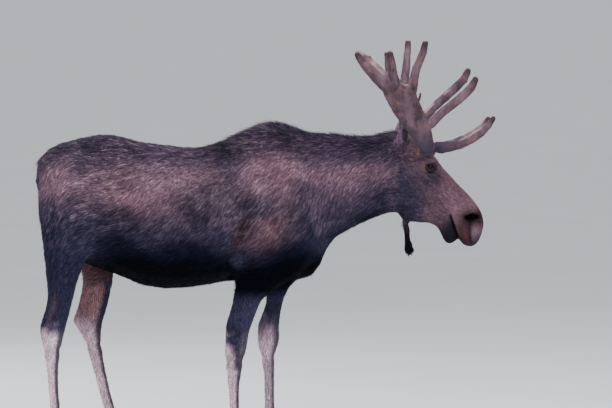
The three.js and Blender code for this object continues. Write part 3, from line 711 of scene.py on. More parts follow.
def mark_legs(colour, points, part, leg_at, tones, fine):
    """Dark upper legs, pale shanks with a dark front, and the brown inside of the thighs."""
    for name, (weight, place, height) in leg_at.items():
        inner = smooth(-0.1, 0.5, -part[f"face_{name}"])
        edge = height + 0.012 * fine + 0.02 * patches(points, 0.05, 61)
        colour = lay(colour, UPPER_LEG, weight * (1 - smooth(0.96, 1.10, height)) * 0.95)
        if name.startswith("fore"):
            higher_behind = edge - 0.05 * np.clip(-place, 0, 1)
            outer_pale = (1 - smooth(0.57, 0.68, higher_behind)) * (1 - smooth(-0.35, 0.25, place))
            lower_pale = (1 - smooth(0.50, 0.56, edge)) * (1 - smooth(0.15, 0.6, place))
            outer_pale = np.maximum(outer_pale, lower_pale)
            inner_pale = (1 - smooth(0.62, 0.80, edge)) * (1 - smooth(0.20, 0.75, place))
            pale = outer_pale * (1 - inner) + 0.72 * inner_pale * inner
        else:
            brown = inner * (1 - smooth(0.35, 0.7, place)) * (1 - smooth(1.04, 1.14, edge))
            colour = lay(colour, INNER_THIGH, weight * brown * 0.9)
            outer_pale = (1 - smooth(0.68, 0.78, edge)) * (1 - smooth(0.15, 0.6, place))
            inner_pale = (1 - smooth(0.66, 0.82, edge)) * (1 - smooth(0.25, 0.7, place))
            pale = outer_pale * (1 - inner) + 0.85 * inner_pale * inner
            hollow = mound(height, 0.775, 0.026) * mound(place, -0.55, 0.30) * inner
            colour = lay(colour, UPPER_LEG, weight * hollow * 0.7)
            groove = mound(place, -0.45, 0.22) * mound(height, 0.84, 0.09) * (1 - inner)
            colour = lay(colour, tones["flank"], weight * groove * 0.4)
        front = 1 - smooth(0.62, 0.80, edge)
        colour = lay(colour, SHANK_DARK, weight * front * smooth(0.1, 0.5, place) * 0.75)
        colour = lay(colour, tones["shank"], weight * pale)
        if name.startswith("hind"):
            spot = mound(height, 0.698, 0.026) * mound(place, -0.10, 0.42) * (1 - inner)
            colour = lay(colour, SHANK_SPOT, weight * spot * 0.85)
        colour = lay(colour, SHANK_DARK, weight * (1 - smooth(0.10, 0.24, height)) * 0.7)
    return colour


def mark_locks(colour, points, part, lock, bare, blotch, fine):
    """Pale streaks on the upper coat, paler hair tips under a painted glint, and darker and paler locks and
    blotches all over.
    """
    head = np.clip(part["head"], 0, 1)
    neck = np.clip(part["neck"], 0, 1)
    level = points[:, 2] + 0.030 * blotch + 0.015 * fine
    upper = smooth(1.12, 1.34, level) * (1 - bare)
    muzzle = head * smooth(0.36, 0.46, to_head(points)[0])
    streaked = upper * (1 - 0.85 * muzzle) * (1 - 0.6 * head) * (1 - 0.6 * neck)
    # Pale streaks on the upper coat: paler hair tips with a painted glint.
    colour = lay(colour, STREAK_GLINT, smooth(0.45, 0.85, lock) * streaked * 0.16)
    depth = (1 - 0.75 * muzzle) * (1 - bare) * (1 - 0.45 * neck)
    return colour * (1 + (0.42 * (lock - 0.5) + 0.16 * blotch + 0.12 * fine) * depth)[:, None]


def markings(points, part, leg_at, opened, nostril, lock):
    """Colour of the hair at every place, in linear light, with paler and darker locks."""
    blotch = patches(points, 0.42, 5)
    fine = patches(points, 0.13, 8)
    tones = chosen_tones()
    colour = np.tile(tones["saddle"], (len(points), 1))
    colour = mark_trunk(colour, points, part, tones, blotch, fine)
    colour = mark_neck(colour, points, part, tones, blotch, fine)
    colour = mark_face(colour, points, part, tones)
    colour = mark_eyes(colour, points, part, tones)
    colour = mark_openings(colour, points, part, tones, opened, nostril)
    colour = mark_ears(colour, points, part, tones)
    colour = lay(colour, BELL_DARK, part["bell"])
    colour = lay(colour, SMOKE, part["tail"])
    colour = mark_legs(colour, points, part, leg_at, tones, fine)
    bare = np.clip(opened + nostril, 0, 1)
    colour = mark_locks(colour, points, part, lock, bare, blotch, fine)
    return np.clip(colour, 0.001, 1)


# ---------------------------------------------------------------- lie and length of the coat
def coat_lie(points, normals, part, leg_at, edges):
    """The way the hair lies at every place, along the skin."""
    forward, out, up = to_body(points)
    side = np.sign(points[:, 1] - MID_Y)
    zero = np.zeros(len(points))
    drop = smooth(0.03, 0.22, out)
    steep = drop * (0.15 + 0.75 * smooth(-0.95, -0.45, forward)) * (0.35 + 0.65 * smooth(1.05, 1.30, up))
    lie = np.stack([-0.93 - zero, 0.10 * side, -0.08 - steep], 1)
    rump = 1 - smooth(-1.10, -0.92, forward)
    lie += rump[:, None] * np.stack([0.45 + zero, zero, -0.75 - zero], 1)
    neck = np.clip(part["neck"], 0, 1)
    lie += neck[:, None] * np.stack([0.25 + zero, zero, -0.45 * drop], 1)
    head = np.clip(part["head"], 0, 1)[:, None]
    face = -ALONG[None, :] * 0.9 + np.stack([-0.25 + zero, zero, -0.15 + zero], 1)
    lie = lie * (1 - head) + face * head
    for side_name, sign in SIDES.items():
        ear = np.clip(part[f"ear_{side_name}"], 0, 1)[:, None]
        lie = lie * (1 - ear) + np.array([0.0, 0.45 * sign, 0.85]) * ear
    for name in ("bell", "tail"):
        hanging = np.clip(part[name], 0, 1)[:, None]
        lie = lie * (1 - hanging) + np.array([0.0, 0.0, -1.0]) * hanging
    for weight, _, height in leg_at.values():
        weight = (weight * (1 - smooth(0.92, 1.12, height)))[:, None]
        lie = lie * (1 - weight) + np.array([-0.12, 0.0, -1.0]) * weight
    swirl = np.stack([patches(points, 0.20, seed) for seed in (21, 22, 23)], 1)
    lie += 0.11 * swirl * (1 - 0.5 * head)
    lie -= normals * np.sum(lie * normals, axis=1, keepdims=True)
    lie = spread(lie, edges, 9)
    lie -= normals * np.sum(lie * normals, axis=1, keepdims=True)
    return lie / np.maximum(np.linalg.norm(lie, axis=1, keepdims=True), 1e-6)


def locks(points, lie, edges, rounds, seed):
    """Streaks from 0 to 1, evenly shared out, that run the way the hair lies."""
    value = np.random.default_rng(seed).random(len(points))
    step = points[edges[:, 1]] - points[edges[:, 0]]
    step /= np.maximum(np.linalg.norm(step, axis=1, keepdims=True), 1e-9)
    pull = np.abs(np.sum(step * (lie[edges[:, 0]] + lie[edges[:, 1]]) / 2, axis=1)) ** 5 + 0.01
    for _ in range(rounds):
        total = np.bincount(edges[:, 0], pull * value[edges[:, 1]], len(points)) + 0.5 * value
        total += np.bincount(edges[:, 1], pull * value[edges[:, 0]], len(points))
        weight = np.bincount(edges[:, 0], pull, len(points))
        weight = weight + np.bincount(edges[:, 1], pull, len(points)) + 0.5
        value = total / weight
    order = np.empty(len(points))
    order[np.argsort(value)] = np.linspace(0, 1, len(points))
    return order


# How the hair stands in each region: length and width of a tuft in metres, its lift off the skin,
# and how close the tufts stand. None leaves what is there.
HAIR = {
    "body": (0.034, 0.0037, 0.12, 1.0),
    "mane": (0.052, None, 0.34, None),
    "throat": (0.040, None, None, None),
    "face": (0.0135, 0.0016, 0.09, 4.0),
    "nose": (0.0075, 0.0012, 0.07, 5.5),
    "eye_rim": (0.006, 0.0011, None, 6.0),
    "ear": (0.020, 0.0022, None, 2.2),
    "ear_inside": (0.034, None, 0.5, None),
    "bell": (0.024, 0.0024, 0.05, 2.2),
    "tail": (0.020, None, 0.01, None),
    "shank": (0.017, 0.0024, 0.13, 2.0),
    "pastern": (0.013, None, None, None),
    "hoof_hem": (0.024, None, 0.30, None),
}
EYE_BARE = EYE_RADIUS + 0.0052  # no hair nearer to the eye's middle than this
MOUTH_BARE = 0.0045


def coat_sizes(points, part, leg_at, opened, nostril):
    """Length, width, lift and closeness of the hair tufts at every place."""
    forward, out, up = to_body(points)
    along, above, _ = to_head(points)
    sizes = [np.full(len(points), value) for value in HAIR["body"]]

    def stand(region, amount):
        """Turns the hair's sizes towards a region's own, by the amount from 0 to 1."""
        for i, to in enumerate(HAIR[region]):
            if to is not None:
                sizes[i] = sizes[i] + (to - sizes[i]) * np.clip(amount, 0, 1)

    trunk_and_neck = np.clip(part["trunk"] + part["neck"], 0, 1)
    crest = (1 - smooth(0.03, 0.10, out)) * smooth(1.55, 1.64, up) * trunk_and_neck
    stand("mane", crest * smooth(-0.40, -0.15, forward))
    below = (1 - smooth(0.03, 0.09, out)) * (1 - smooth(1.35, 1.5, up))
    stand("throat", np.clip(part["neck"], 0, 1) * below)
    head = np.clip(part["head"], 0, 1)
    stand("face", head * smooth(-0.05, 0.10, along))
    stand("nose", head * smooth(0.36, 0.46, along))
    for side in SIDES:
        gap = np.linalg.norm(points - EYES[side], axis=1)
        stand("eye_rim", 1 - smooth(0.030, 0.052, gap))
        sizes[3] = np.where(gap < EYE_BARE, 0.0, sizes[3])
    slit, place, _ = from_line(along, above, MOUTH)
    sizes[3] = sizes[3] * (1 - head * (slit < MOUTH_BARE) * (place > 0.02))
    sizes[3] = sizes[3] * (1 - smooth(0.15, 0.4, nostril)) * (1 - smooth(0.1, 0.3, opened))
    ears = np.clip(part["ear_right"] + part["ear_left"], 0, 1)
    stand("ear", ears)
    stand("ear_inside", ears * part["ear_inside"])
    stand("bell", part["bell"])
    stand("tail", part["tail"])
    for weight, _, height in leg_at.values():
        stand("shank", weight * (1 - smooth(0.80, 1.02, height)))
        stand("pastern", weight * (1 - smooth(0.12, 0.24, height)))
        stand("hoof_hem", weight * (1 - smooth(0.085, 0.115, height)))
    return sizes


# ---------------------------------------------------------------- materials
class Nodes:
    """Puts nodes into a tree and links them."""

    def node(self, kind, **values):
        """A new node with its properties set."""
        made = self.tree.nodes.new(kind)
        for key, value in values.items():
            setattr(made, key, value)
        return made

    def put(self, source, target):
        """Links an output to an input."""
        self.tree.links.new(source, target)

    def maths(self, operation, first, second):
        """One sum of two values, each a number or an output."""
        made = self.node("ShaderNodeMath", operation=operation)
        for socket, value in zip(made.inputs, (first, second)):
            if hasattr(value, "links"):
                self.put(value, socket)
            else:
                socket.default_value = value
        return made.outputs[0]


class Finish(Nodes):
    """A material built from nodes."""

    def __init__(self, name):
        self.material = bpy.data.materials.new(name)
        self.material.use_nodes = True
        self.tree = self.material.node_tree
        self.shader = self.tree.nodes["Principled BSDF"]

    def attribute(self, name, output="Fac"):
        """A value stored on the mesh."""
        return self.node("ShaderNodeAttribute", attribute_name=name).outputs[output]

    def place(self, stretch=(1, 1, 1)):
        """Object coordinates, stretched."""
        where = self.node("ShaderNodeTexCoord")
        mapping = self.node("ShaderNodeMapping")
        mapping.inputs["Scale"].default_value = stretch
        self.put(where.outputs["Object"], mapping.inputs["Vector"])
        return mapping.outputs["Vector"]

    def noise(self, scale, detail=4.0, rough=0.6, stretch=(1, 1, 1)):
        """Cloudy noise from 0 to 1."""
        made = self.node("ShaderNodeTexNoise")
        made.inputs["Scale"].default_value = scale
        made.inputs["Detail"].default_value = detail
        made.inputs["Roughness"].default_value = rough
        self.put(self.place(stretch), made.inputs["Vector"])
        return made.outputs["Fac"]

    def between(self, source, low, high, to_low=0.0, to_high=1.0):
        """A value's share of the way from low to high, clipped, laid on another range."""
        made = self.node("ShaderNodeMapRange")
        for key, value in zip(("From Min", "From Max", "To Min", "To Max"), (low, high, to_low, to_high)):
            made.inputs[key].default_value = value
        self.put(source, made.inputs["Value"])
        return made.outputs["Result"]

    def mix(self, amount, first, second, blend="MIX"):
        """Two colours mixed, each a colour or an output."""
        made = self.node("ShaderNodeMix", data_type="RGBA", blend_type=blend)
        for socket, value in zip((made.inputs[0], made.inputs[6], made.inputs[7]), (amount, first, second)):
            if hasattr(value, "links"):
                self.put(value, socket)
            elif isinstance(value, (int, float)):
                socket.default_value = value
            else:
                socket.default_value = (*value[:3], 1.0)
        return made.outputs[2]

    def grey(self, value):
        """A value as a grey colour."""
        made = self.node("ShaderNodeCombineColor")
        for socket in made.inputs[:3]:
            self.put(value, socket)
        return made.outputs[0]

    def bump(self, height, strength, distance):
        """Fine relief for the shader."""
        made = self.node("ShaderNodeBump")
        made.inputs["Strength"].default_value = strength
        made.inputs["Distance"].default_value = distance
        self.put(height, made.inputs["Height"])
        self.put(made.outputs["Normal"], self.shader.inputs["Normal"])

    def set(self, **values):
        """Sets constants on the shader's own sockets."""
        for key, value in values.items():
            self.shader.inputs[key.replace("_", " ")].default_value = value


def skin_finish():
    """Short hair seen as bump, bare and damp round the nose and the lids."""
    f = Finish("short_hair_skin")
    colour = f.attribute("Mark", "Color")
    grain = f.noise(420, 3, 0.7)
    shade = f.between(grain, 0.3, 0.7, 0.62, 0.98)
    f.put(f.mix(1.0, colour, f.grey(shade), "MULTIPLY"), f.shader.inputs["Base Color"])
    f.put(f.between(f.attribute("Bare"), 0, 1, 0.66, 0.40), f.shader.inputs["Roughness"])
    f.set(Specular_IOR_Level=0.06)
    f.bump(f.maths("ADD", grain, f.noise(90, 4)), 0.5, 0.0016)
    return f.material


def coat_finish():
    """Hair of the marking's colour, darker at its root and paler at its tip as a painted glint, each tuft a
    little different.
    """
    f = Finish("summer_coat_hair")
    colour = f.attribute("Mark", "Color")
    tint = f.maths("POWER", f.attribute("Tint"), 2.2)
    tint = f.mix(tint, (0.54, 0.54, 0.60), (2.12, 1.93, 1.90))
    # Painted glint: each tuft darkens towards its root and brightens towards its tip.
    tip = f.between(f.attribute("Tip"), 0, 1, 0.55, 1.25)
    colour = f.mix(1.0, colour, tint, "MULTIPLY")
    f.put(f.mix(1.0, colour, f.grey(tip), "MULTIPLY"), f.shader.inputs["Base Color"])
    f.put(f.between(f.noise(160, 2), 0.3, 0.7, 0.42, 0.60), f.shader.inputs["Roughness"])
    f.set(Specular_IOR_Level=0.05)
    return f.material


def eye_finish():
    """A dark brown iris round a long level pupil, glossy and wet."""
    f = Finish("wet_brown_eye")
    gaze = f.node("ShaderNodeAttribute", attribute_name="Gaze").outputs["Vector"]
    split = f.node("ShaderNodeSeparateXYZ")
    f.put(gaze, split.inputs[0])
    across, up, front = split.outputs
    wide = f.maths("POWER", f.maths("DIVIDE", across, 0.40), 2.0)
    high = f.maths("POWER", f.maths("DIVIDE", up, 0.17), 2.0)
    pupil = f.between(f.maths("ADD", wide, high), 0.85, 1.1, 1.0, 0.0)
    ring = f.between(front, 0.60, 0.68, 0.0, 1.0)
    streak = f.noise(900, 4, 0.7)
    iris = f.mix(streak, srgb(12, 7, 5), srgb(36, 20, 12))
    white = f.mix(f.noise(500, 3), srgb(20, 13, 11), srgb(44, 30, 24))
    base = f.mix(ring, white, iris)
    f.put(f.mix(pupil, base, srgb(3, 3, 4)), f.shader.inputs["Base Color"])
    f.set(Roughness=0.06, Specular_IOR_Level=0.16)
    return f.material


def velvet_finish():
    """Soft brown velvet skin with faint bumps, darker growing tips, and a paler nap where it faces up that
    is a painted highlight.
    """
    f = Finish("antler_velvet")
    growth = f.attribute("Growth")
    blotch = f.noise(11, 5, 0.65, stretch=(1.6, 1.6, 0.6))
    rust = f.noise(17, 4, 0.6, stretch=(0.7, 1.8, 1.1))
    nap = f.noise(700, 3, 0.7)
    chosen = settings()
    dark, pale = np.array(chosen.velvet), np.array(chosen.velvet_pale)
    colour = f.mix(f.between(blotch, 0.35, 0.68), dark, pale)
    colour = f.mix(f.between(rust, 0.50, 0.74, 0.0, 0.55), colour, VELVET_RUST)
    colour = f.mix(f.between(f.attribute("Base"), 0.0, 1.0, 0.0, 0.9), colour, VELVET_FOOT)
    colour = f.mix(f.between(growth, 0.55, 0.95, 0.0, 0.85), colour, VELVET_TIP)
    # Painted highlight: paler nap where the velvet faces up.
    colour = f.mix(f.between(f.attribute("LitNap"), 0.2, 1.0, 0.0, 0.75), colour, VELVET_LIT_NAP)
    shade = f.between(nap, 0.3, 0.7, 0.78, 1.14)
    f.put(f.mix(1.0, colour, f.grey(shade), "MULTIPLY"), f.shader.inputs["Base Color"])
    f.set(Roughness=0.8, Sheen_Weight=0.30, Sheen_Roughness=0.22, Specular_IOR_Level=0.12)
    f.shader.inputs["Sheen Tint"].default_value = (*VELVET_SHEEN, 1)
    f.bump(f.maths("ADD", f.maths("MULTIPLY", nap, 0.5), f.noise(60, 5, 0.65)), 0.6, 0.0022)
    return f.material


def horn_finish():
    """Dark satin horn with growth rings, worn paler at the ground."""
    f = Finish("hoof_horn")
    rings = f.noise(26, 5, 0.6, stretch=(0.3, 0.3, 14))
    fibre = f.noise(60, 4, 0.6, stretch=(6, 6, 0.6))
    colour = f.mix(f.between(rings, 0.35, 0.65), HORN_DARK, HORN)
    split = f.node("ShaderNodeSeparateXYZ")
    f.put(f.place(), split.inputs[0])
    colour = f.mix(f.between(split.outputs[2], 0.0, 0.018, 0.35, 0.0), colour, HORN_WORN)
    shade = f.between(fibre, 0.3, 0.7, 0.85, 1.1)
    f.put(f.mix(1.0, colour, f.grey(shade), "MULTIPLY"), f.shader.inputs["Base Color"])
    f.put(f.between(fibre, 0.3, 0.7, 0.34, 0.55), f.shader.inputs["Roughness"])
    f.bump(f.maths("ADD", rings, f.maths("MULTIPLY", fibre, 0.4)), 0.5, 0.0012)
    return f.material


def floor_finish():
    """Plain pale studio floor."""
    f = Finish("pale_floor")
    tone = f.between(f.noise(1.3, 2), 0.3, 0.7, 0.90, 0.93)
    f.put(f.grey(tone), f.shader.inputs["Base Color"])
    f.set(Roughness=0.9, Specular_IOR_Level=0.1)
    return f.material


# ---------------------------------------------------------------- user settings
class MooseSettings(bpy.types.PropertyGroup):
    """Sizes and colours of the moose's surface."""

    coat_length: bpy.props.FloatProperty(
        name="Coat length",
        description="Length of the hair against its summer length",
        default=1.0,
        min=0.3,
        max=3.0,
    )
    tufts: bpy.props.IntProperty(
        name="Tufts per layer",
        description="Hair tufts in each layer of the coat",
        default=48500,
        min=1000,
        max=49500,
    )
    layers: bpy.props.IntProperty(
        name="Coat layers", description="Layers of hair tufts", default=7, min=1, max=7
    )
    saddle: bpy.props.FloatVectorProperty(
        name="Back", description="Hair of back, shoulder and rump", subtype="COLOR", default=tuple(SADDLE)
    )
    flank: bpy.props.FloatVectorProperty(
        name="Flank", description="Brown hair of flank and shoulder", subtype="COLOR", default=tuple(FLANK)
    )
    dark: bpy.props.FloatVectorProperty(
        name="Dark", description="Hair of thigh and throat", subtype="COLOR", default=tuple(DARK)
    )
    # Its default is black belly hair darkened further as painted shadow.
    belly: bpy.props.FloatVectorProperty(
        name="Belly", description="Hair of belly and breast", subtype="COLOR", default=tuple(BELLY_AND_SHADOW)
    )
    shank: bpy.props.FloatVectorProperty(
        name="Shank", description="Pale hair of the lower legs", subtype="COLOR", default=tuple(SHANK)
    )
    muzzle_hair: bpy.props.FloatVectorProperty(
        name="Muzzle", description="Red brown hair of the muzzle", subtype="COLOR", default=tuple(MUZZLE)
    )
    velvet: bpy.props.FloatVectorProperty(
        name="Velvet", description="Antler velvet", subtype="COLOR", default=tuple(VELVET)
    )
    velvet_pale: bpy.props.FloatVectorProperty(
        name="Pale velvet", description="Nap of the velvet", subtype="COLOR", default=tuple(VELVET_PALE)
    )


def settings():
    """The moose's settings in this scene."""
    return bpy.context.scene.moose


# ---------------------------------------------------------------- pieces
def leg_places(points, part):
    """For each leg: its weight, the place from its rear (-1) to its front (1), and height."""
    found = {}
    for leg in LEGS:
        weight = np.clip(part[f"leg_{leg}_upper"] + part[f"leg_{leg}_lower"], 0, 1)
        mine = weight > 0.5
        up = points[:, 2]
        edges = np.arange(0.05, 1.15, 0.02)
        rear, front = [], []
        for z in edges:
            here = points[mine & (np.abs(up - z) < 0.02), 0]
            rear.append(here.min() if len(here) else np.nan)
            front.append(here.max() if len(here) else np.nan)
        rear, front = np.array(rear), np.array(front)
        good = ~np.isnan(rear)
        r = np.interp(up, edges[good], rear[good])
        g = np.interp(up, edges[good], front[good])
        found[leg] = (weight, np.clip((points[:, 0] - (r + g) / 2) / ((g - r) / 2), -1.3, 1.3), up)
    return found


def parts_of(points, edges, tree, owner):
    """Soft weights, from 0 to 1, of the solid each point belongs to."""
    nearest = owners_of(points, tree, owner)
    nearest[nearest >= len(FLESH)] = FLESH.index("head")
    hard = np.zeros((len(points), len(FLESH)))
    hard[np.arange(len(points)), nearest] = 1
    soft = spread(hard, edges, 14)
    part = {node: soft[:, i] for i, node in enumerate(FLESH)}
    return part


def nearest_eye(points):
    """Distance of every point from the nearer eye's middle."""
    return np.minimum.reduce([np.linalg.norm(points - EYES[side], axis=1) for side in SIDES])


def even_flesh(mesh, tree, owner):
    """Evens the fused flesh, least where it is slim, and splits its faces where the face has detail."""
    points, edges = mesh_arrays(mesh)
    part = parts_of(points, edges, tree, owner)
    ear = np.clip(part["ear_right"] + part["ear_left"], 0, 1)
    slim = np.clip(ear + part["bell"] + part["tail"], 0, 1)
    head = np.clip(part["head"], 0, 1)
    feet = 1 - smooth(0.08, 0.30, points[:, 2])
    hold = np.clip(0.80 * slim + 0.70 * head + 0.75 * feet, 0, 0.92)
    points = spread(points, edges, 22, 0.5, keep=hold)
    set_points(mesh, points)

    along, above, _ = to_head(points)
    face = (along > -0.02) & (np.abs(above) < 0.35)
    refine(mesh, face & (points[:, 0] > POLL[0] - 0.08) & (points[:, 2] < POLL[2] + 0.1))
    points, edges = mesh_arrays(mesh)
    points = spread(points, edges, 4, 0.5)
    set_points(mesh, points)

    along, above, out = to_head(points)
    slit, _, _ = from_line(along, above, MOUTH)
    hole, _, _ = from_line(along, above, NOSTRIL)
    sharp = (nearest_eye(points) < 0.055) | (((slit < 0.017) | (hole < 0.024)) & (out > 0.01))
    refine(mesh, sharp & (along > 0.02))


def coat_depth(points, part, head):
    """How deep the skin lies inside the solids at every place."""
    depth = np.full(len(points), COAT_DEPTH)
    depth += (FACE_DEPTH - COAT_DEPTH) * np.clip(head * 1.2, 0, 1)
    slim = np.clip(part["bell"] + part["ear_right"] + part["ear_left"] + part["tail"], 0, 1)
    depth += (SLIM_DEPTH + TAIL_DEPTH * part["tail"] - depth) * slim
    depth += (LEG_DEPTH - depth) * (1 - smooth(0.55, 0.95, points[:, 2]))
    depth -= BELL_GROW * part["bell"]
    cheek = smooth(0.020, 0.070, to_head(points)[2]) * smooth(0.05, 0.12, nearest_eye(points))
    depth += (CHEEK_DEPTH - FACE_DEPTH) * head * cheek
    return depth


def note_facing(part, normals):
    """Adds which places look into the ears, and how far a leg's places look outwards."""
    inside = np.zeros(len(normals))
    for side, sign in SIDES.items():
        into_ear = np.array([0.72, 0.60 * sign, 0.10])
        inside += part[f"ear_{side}"] * smooth(0.15, 0.5, normals @ into_ear)
    part["ear_inside"] = np.clip(inside, 0, 1)
    for leg in LEGS:
        part[f"face_{leg}"] = normals[:, 1] * SIDES[leg.split("_")[1]]


# Streaks of hair: the share of each kind, how many rounds run it out, and its seed.
STREAKS = ((0.55, 1, 51), (0.30, 3, 52), (0.15, 12, 53))


class MOOSE_OT_skin(bpy.types.Operator):
    """Fuses the flesh into one skin with muscles, folds, lids, nostrils and lips"""

    bl_idname = "moose.skin"
    bl_label = "Skin"

    def execute(self, context):
        mesh, tree, owner = fused_flesh(FLESH + ["eye_right", "eye_left"], BODY_VOXEL, FLESH_GROW)
        even_flesh(mesh, tree, owner)
        points, edges = mesh_arrays(mesh)
        part = parts_of(points, edges, tree, owner)
        head = np.clip(part["head"], 0, 1)
        points = spread(points, edges, 2, 0.5, keep=1 - head)
        set_points(mesh, points)

        leg_at = leg_places(points, part)
        normals = normals_of(mesh)
        points = shape_body(points, normals, part)
        points = shape_legs(points, normals, leg_at)
        points -= normals * coat_depth(points, part, head)[:, None]
        points[:, 0] += TAIL_SHIFT * part["tail"]
        points, nostril = shape_head(points, normals, head)
        points, opened = shape_lids(points)
        set_points(mesh, points)
        shade_smooth(mesh)

        normals = normals_of(mesh)
        note_facing(part, normals)
        lie = coat_lie(points, normals, part, leg_at, edges)
        lock = sum(share * locks(points, lie, edges, rounds, seed) for share, rounds, seed in STREAKS)
        colour = markings(points, part, leg_at, opened, nostril, lock)
        bare = np.clip(opened + nostril + head * smooth(0.50, 0.56, to_head(points)[0]), 0, 1)
        add_values(mesh, "Mark", "FLOAT_COLOR", np.concatenate([colour, np.ones((len(points), 1))], 1))
        add_values(mesh, "Bare", "FLOAT", bare)
        add_values(mesh, "Lie", "FLOAT_VECTOR", lie)
        sizes = coat_sizes(points, part, leg_at, opened, nostril)
        for name, values in zip(("Hair", "Width", "Lift", "Close"), sizes):
            add_values(mesh, name, "FLOAT", values)
        skin = new_piece("moose_skin", mesh)
        mesh.materials.clear()
        mesh.materials.append(skin_finish())
        unwrap(skin)
        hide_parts(*FLESH)
        return {"FINISHED"}


def unwrap(piece):
    """Lays the skin out flat in islands of its own shape, as the map OFBake."""
    mesh = piece.data
    while mesh.uv_layers:
        mesh.uv_layers.remove(mesh.uv_layers[0])
    mesh.uv_layers.new(name="OFBake")
    bpy.context.view_layer.objects.active = piece
    for other in bpy.context.selected_objects:
        other.select_set(False)
    piece.select_set(True)
    bpy.ops.object.mode_set(mode="EDIT")
    bpy.ops.mesh.select_all(action="SELECT")
    bpy.ops.uv.smart_project(angle_limit=math.radians(80), island_margin=0.002, area_weight=0.0)
    bpy.ops.object.mode_set(mode="OBJECT")
    piece.select_set(False)


# ---------------------------------------------------------------- coat of tufts
TUFT_CORNERS = ((0.0, -0.05, -0.45), (-0.5, 0.38, 0.25), (0.5, 0.38, 0.25), (0.0, 1.0, 0.0))
TUFT_FACES = ((0, 2, 1), (1, 2, 3), (0, 1, 3), (0, 3, 2))
TUFT_MAP = ((0.0, -1.0), (-0.8, 0.0), (0.8, 0.0), (0.0, 1.0))
TUFT_PATCH = 0.0015  # half the size of each tuft's patch on the map


def tuft_shape():
    """One closed lock of hair: pointed at root and tip, widest before its middle."""
    mesh = bpy.data.meshes.new("tuft")
    mesh.from_pydata(TUFT_CORNERS, [], TUFT_FACES)
    add_values(mesh, "Tip", "FLOAT", [0.0, 0.45, 0.45, 1.0])
    uv = mesh.attributes.new("LocalUV", "FLOAT2", "CORNER")
    corners = np.empty(len(mesh.loops), int)
    mesh.loops.foreach_get("vertex_index", corners)
    uv.data.foreach_set("vector", (np.array(TUFT_MAP)[corners] * TUFT_PATCH).astype(np.float32).ravel())
    return bpy.data.objects.new("tuft", mesh)


class Scatter(Nodes):
    """The node tree that sows tufts over the skin."""

    def __init__(self):
        self.tree = bpy.data.node_groups.new("sow_tufts", "GeometryNodeTree")
        self.tree.is_modifier = True

    def socket(self, name, kind, way="INPUT"):
        """A socket of the whole tree."""
        self.tree.interface.new_socket(name=name, in_out=way, socket_type=f"NodeSocket{kind}")

    def named(self, name, kind="FLOAT"):
        """A value stored on the skin."""
        made = self.node("GeometryNodeInputNamedAttribute", data_type=kind)
        made.inputs["Name"].default_value = name
        return made.outputs["Attribute"]

    def vectors(self, operation, first, second=None, scale=None):
        """One sum of vectors."""
        made = self.node("ShaderNodeVectorMath", operation=operation)
        self.put(first, made.inputs[0])
        if second is not None:
            self.put(second, made.inputs[1])
        if scale is not None:
            self.put(scale, made.inputs["Scale"])
        return made.outputs[0]

    def random(self, low, high, seed, offset, kind="FLOAT"):
        """A seeded random value for each tuft."""
        made = self.node("FunctionNodeRandomValue", data_type=kind)
        first = 0 if kind == "FLOAT_VECTOR" else 2
        made.inputs[first].default_value = low
        made.inputs[first + 1].default_value = high
        self.put(self.maths("ADD", seed, float(offset)), made.inputs["Seed"])
        return made.outputs[0 if kind == "FLOAT_VECTOR" else 1]

    def keep(self, geometry, name, kind, domain, value):
        """Stores a value under a name."""
        made = self.node("GeometryNodeStoreNamedAttribute", data_type=kind, domain=domain)
        made.inputs["Name"].default_value = name
        self.put(geometry, made.inputs["Geometry"])
        self.put(value, made.inputs["Value"])
        return made.outputs["Geometry"]

    def drop(self, geometry, name):
        """Removes a stored value."""
        made = self.node("GeometryNodeRemoveAttribute")
        made.inputs["Name"].default_value = name
        self.put(geometry, made.inputs["Geometry"])
        return made.outputs["Geometry"]


SOW_INPUTS = {
    "Geometry": "Geometry",
    "Density": "Float",
    "Seed": "Int",
    "Length": "Float",
    "Width": "Float",
    "Untidy": "Float",
    "Tuft": "Object",
    "Material": "Material",
}


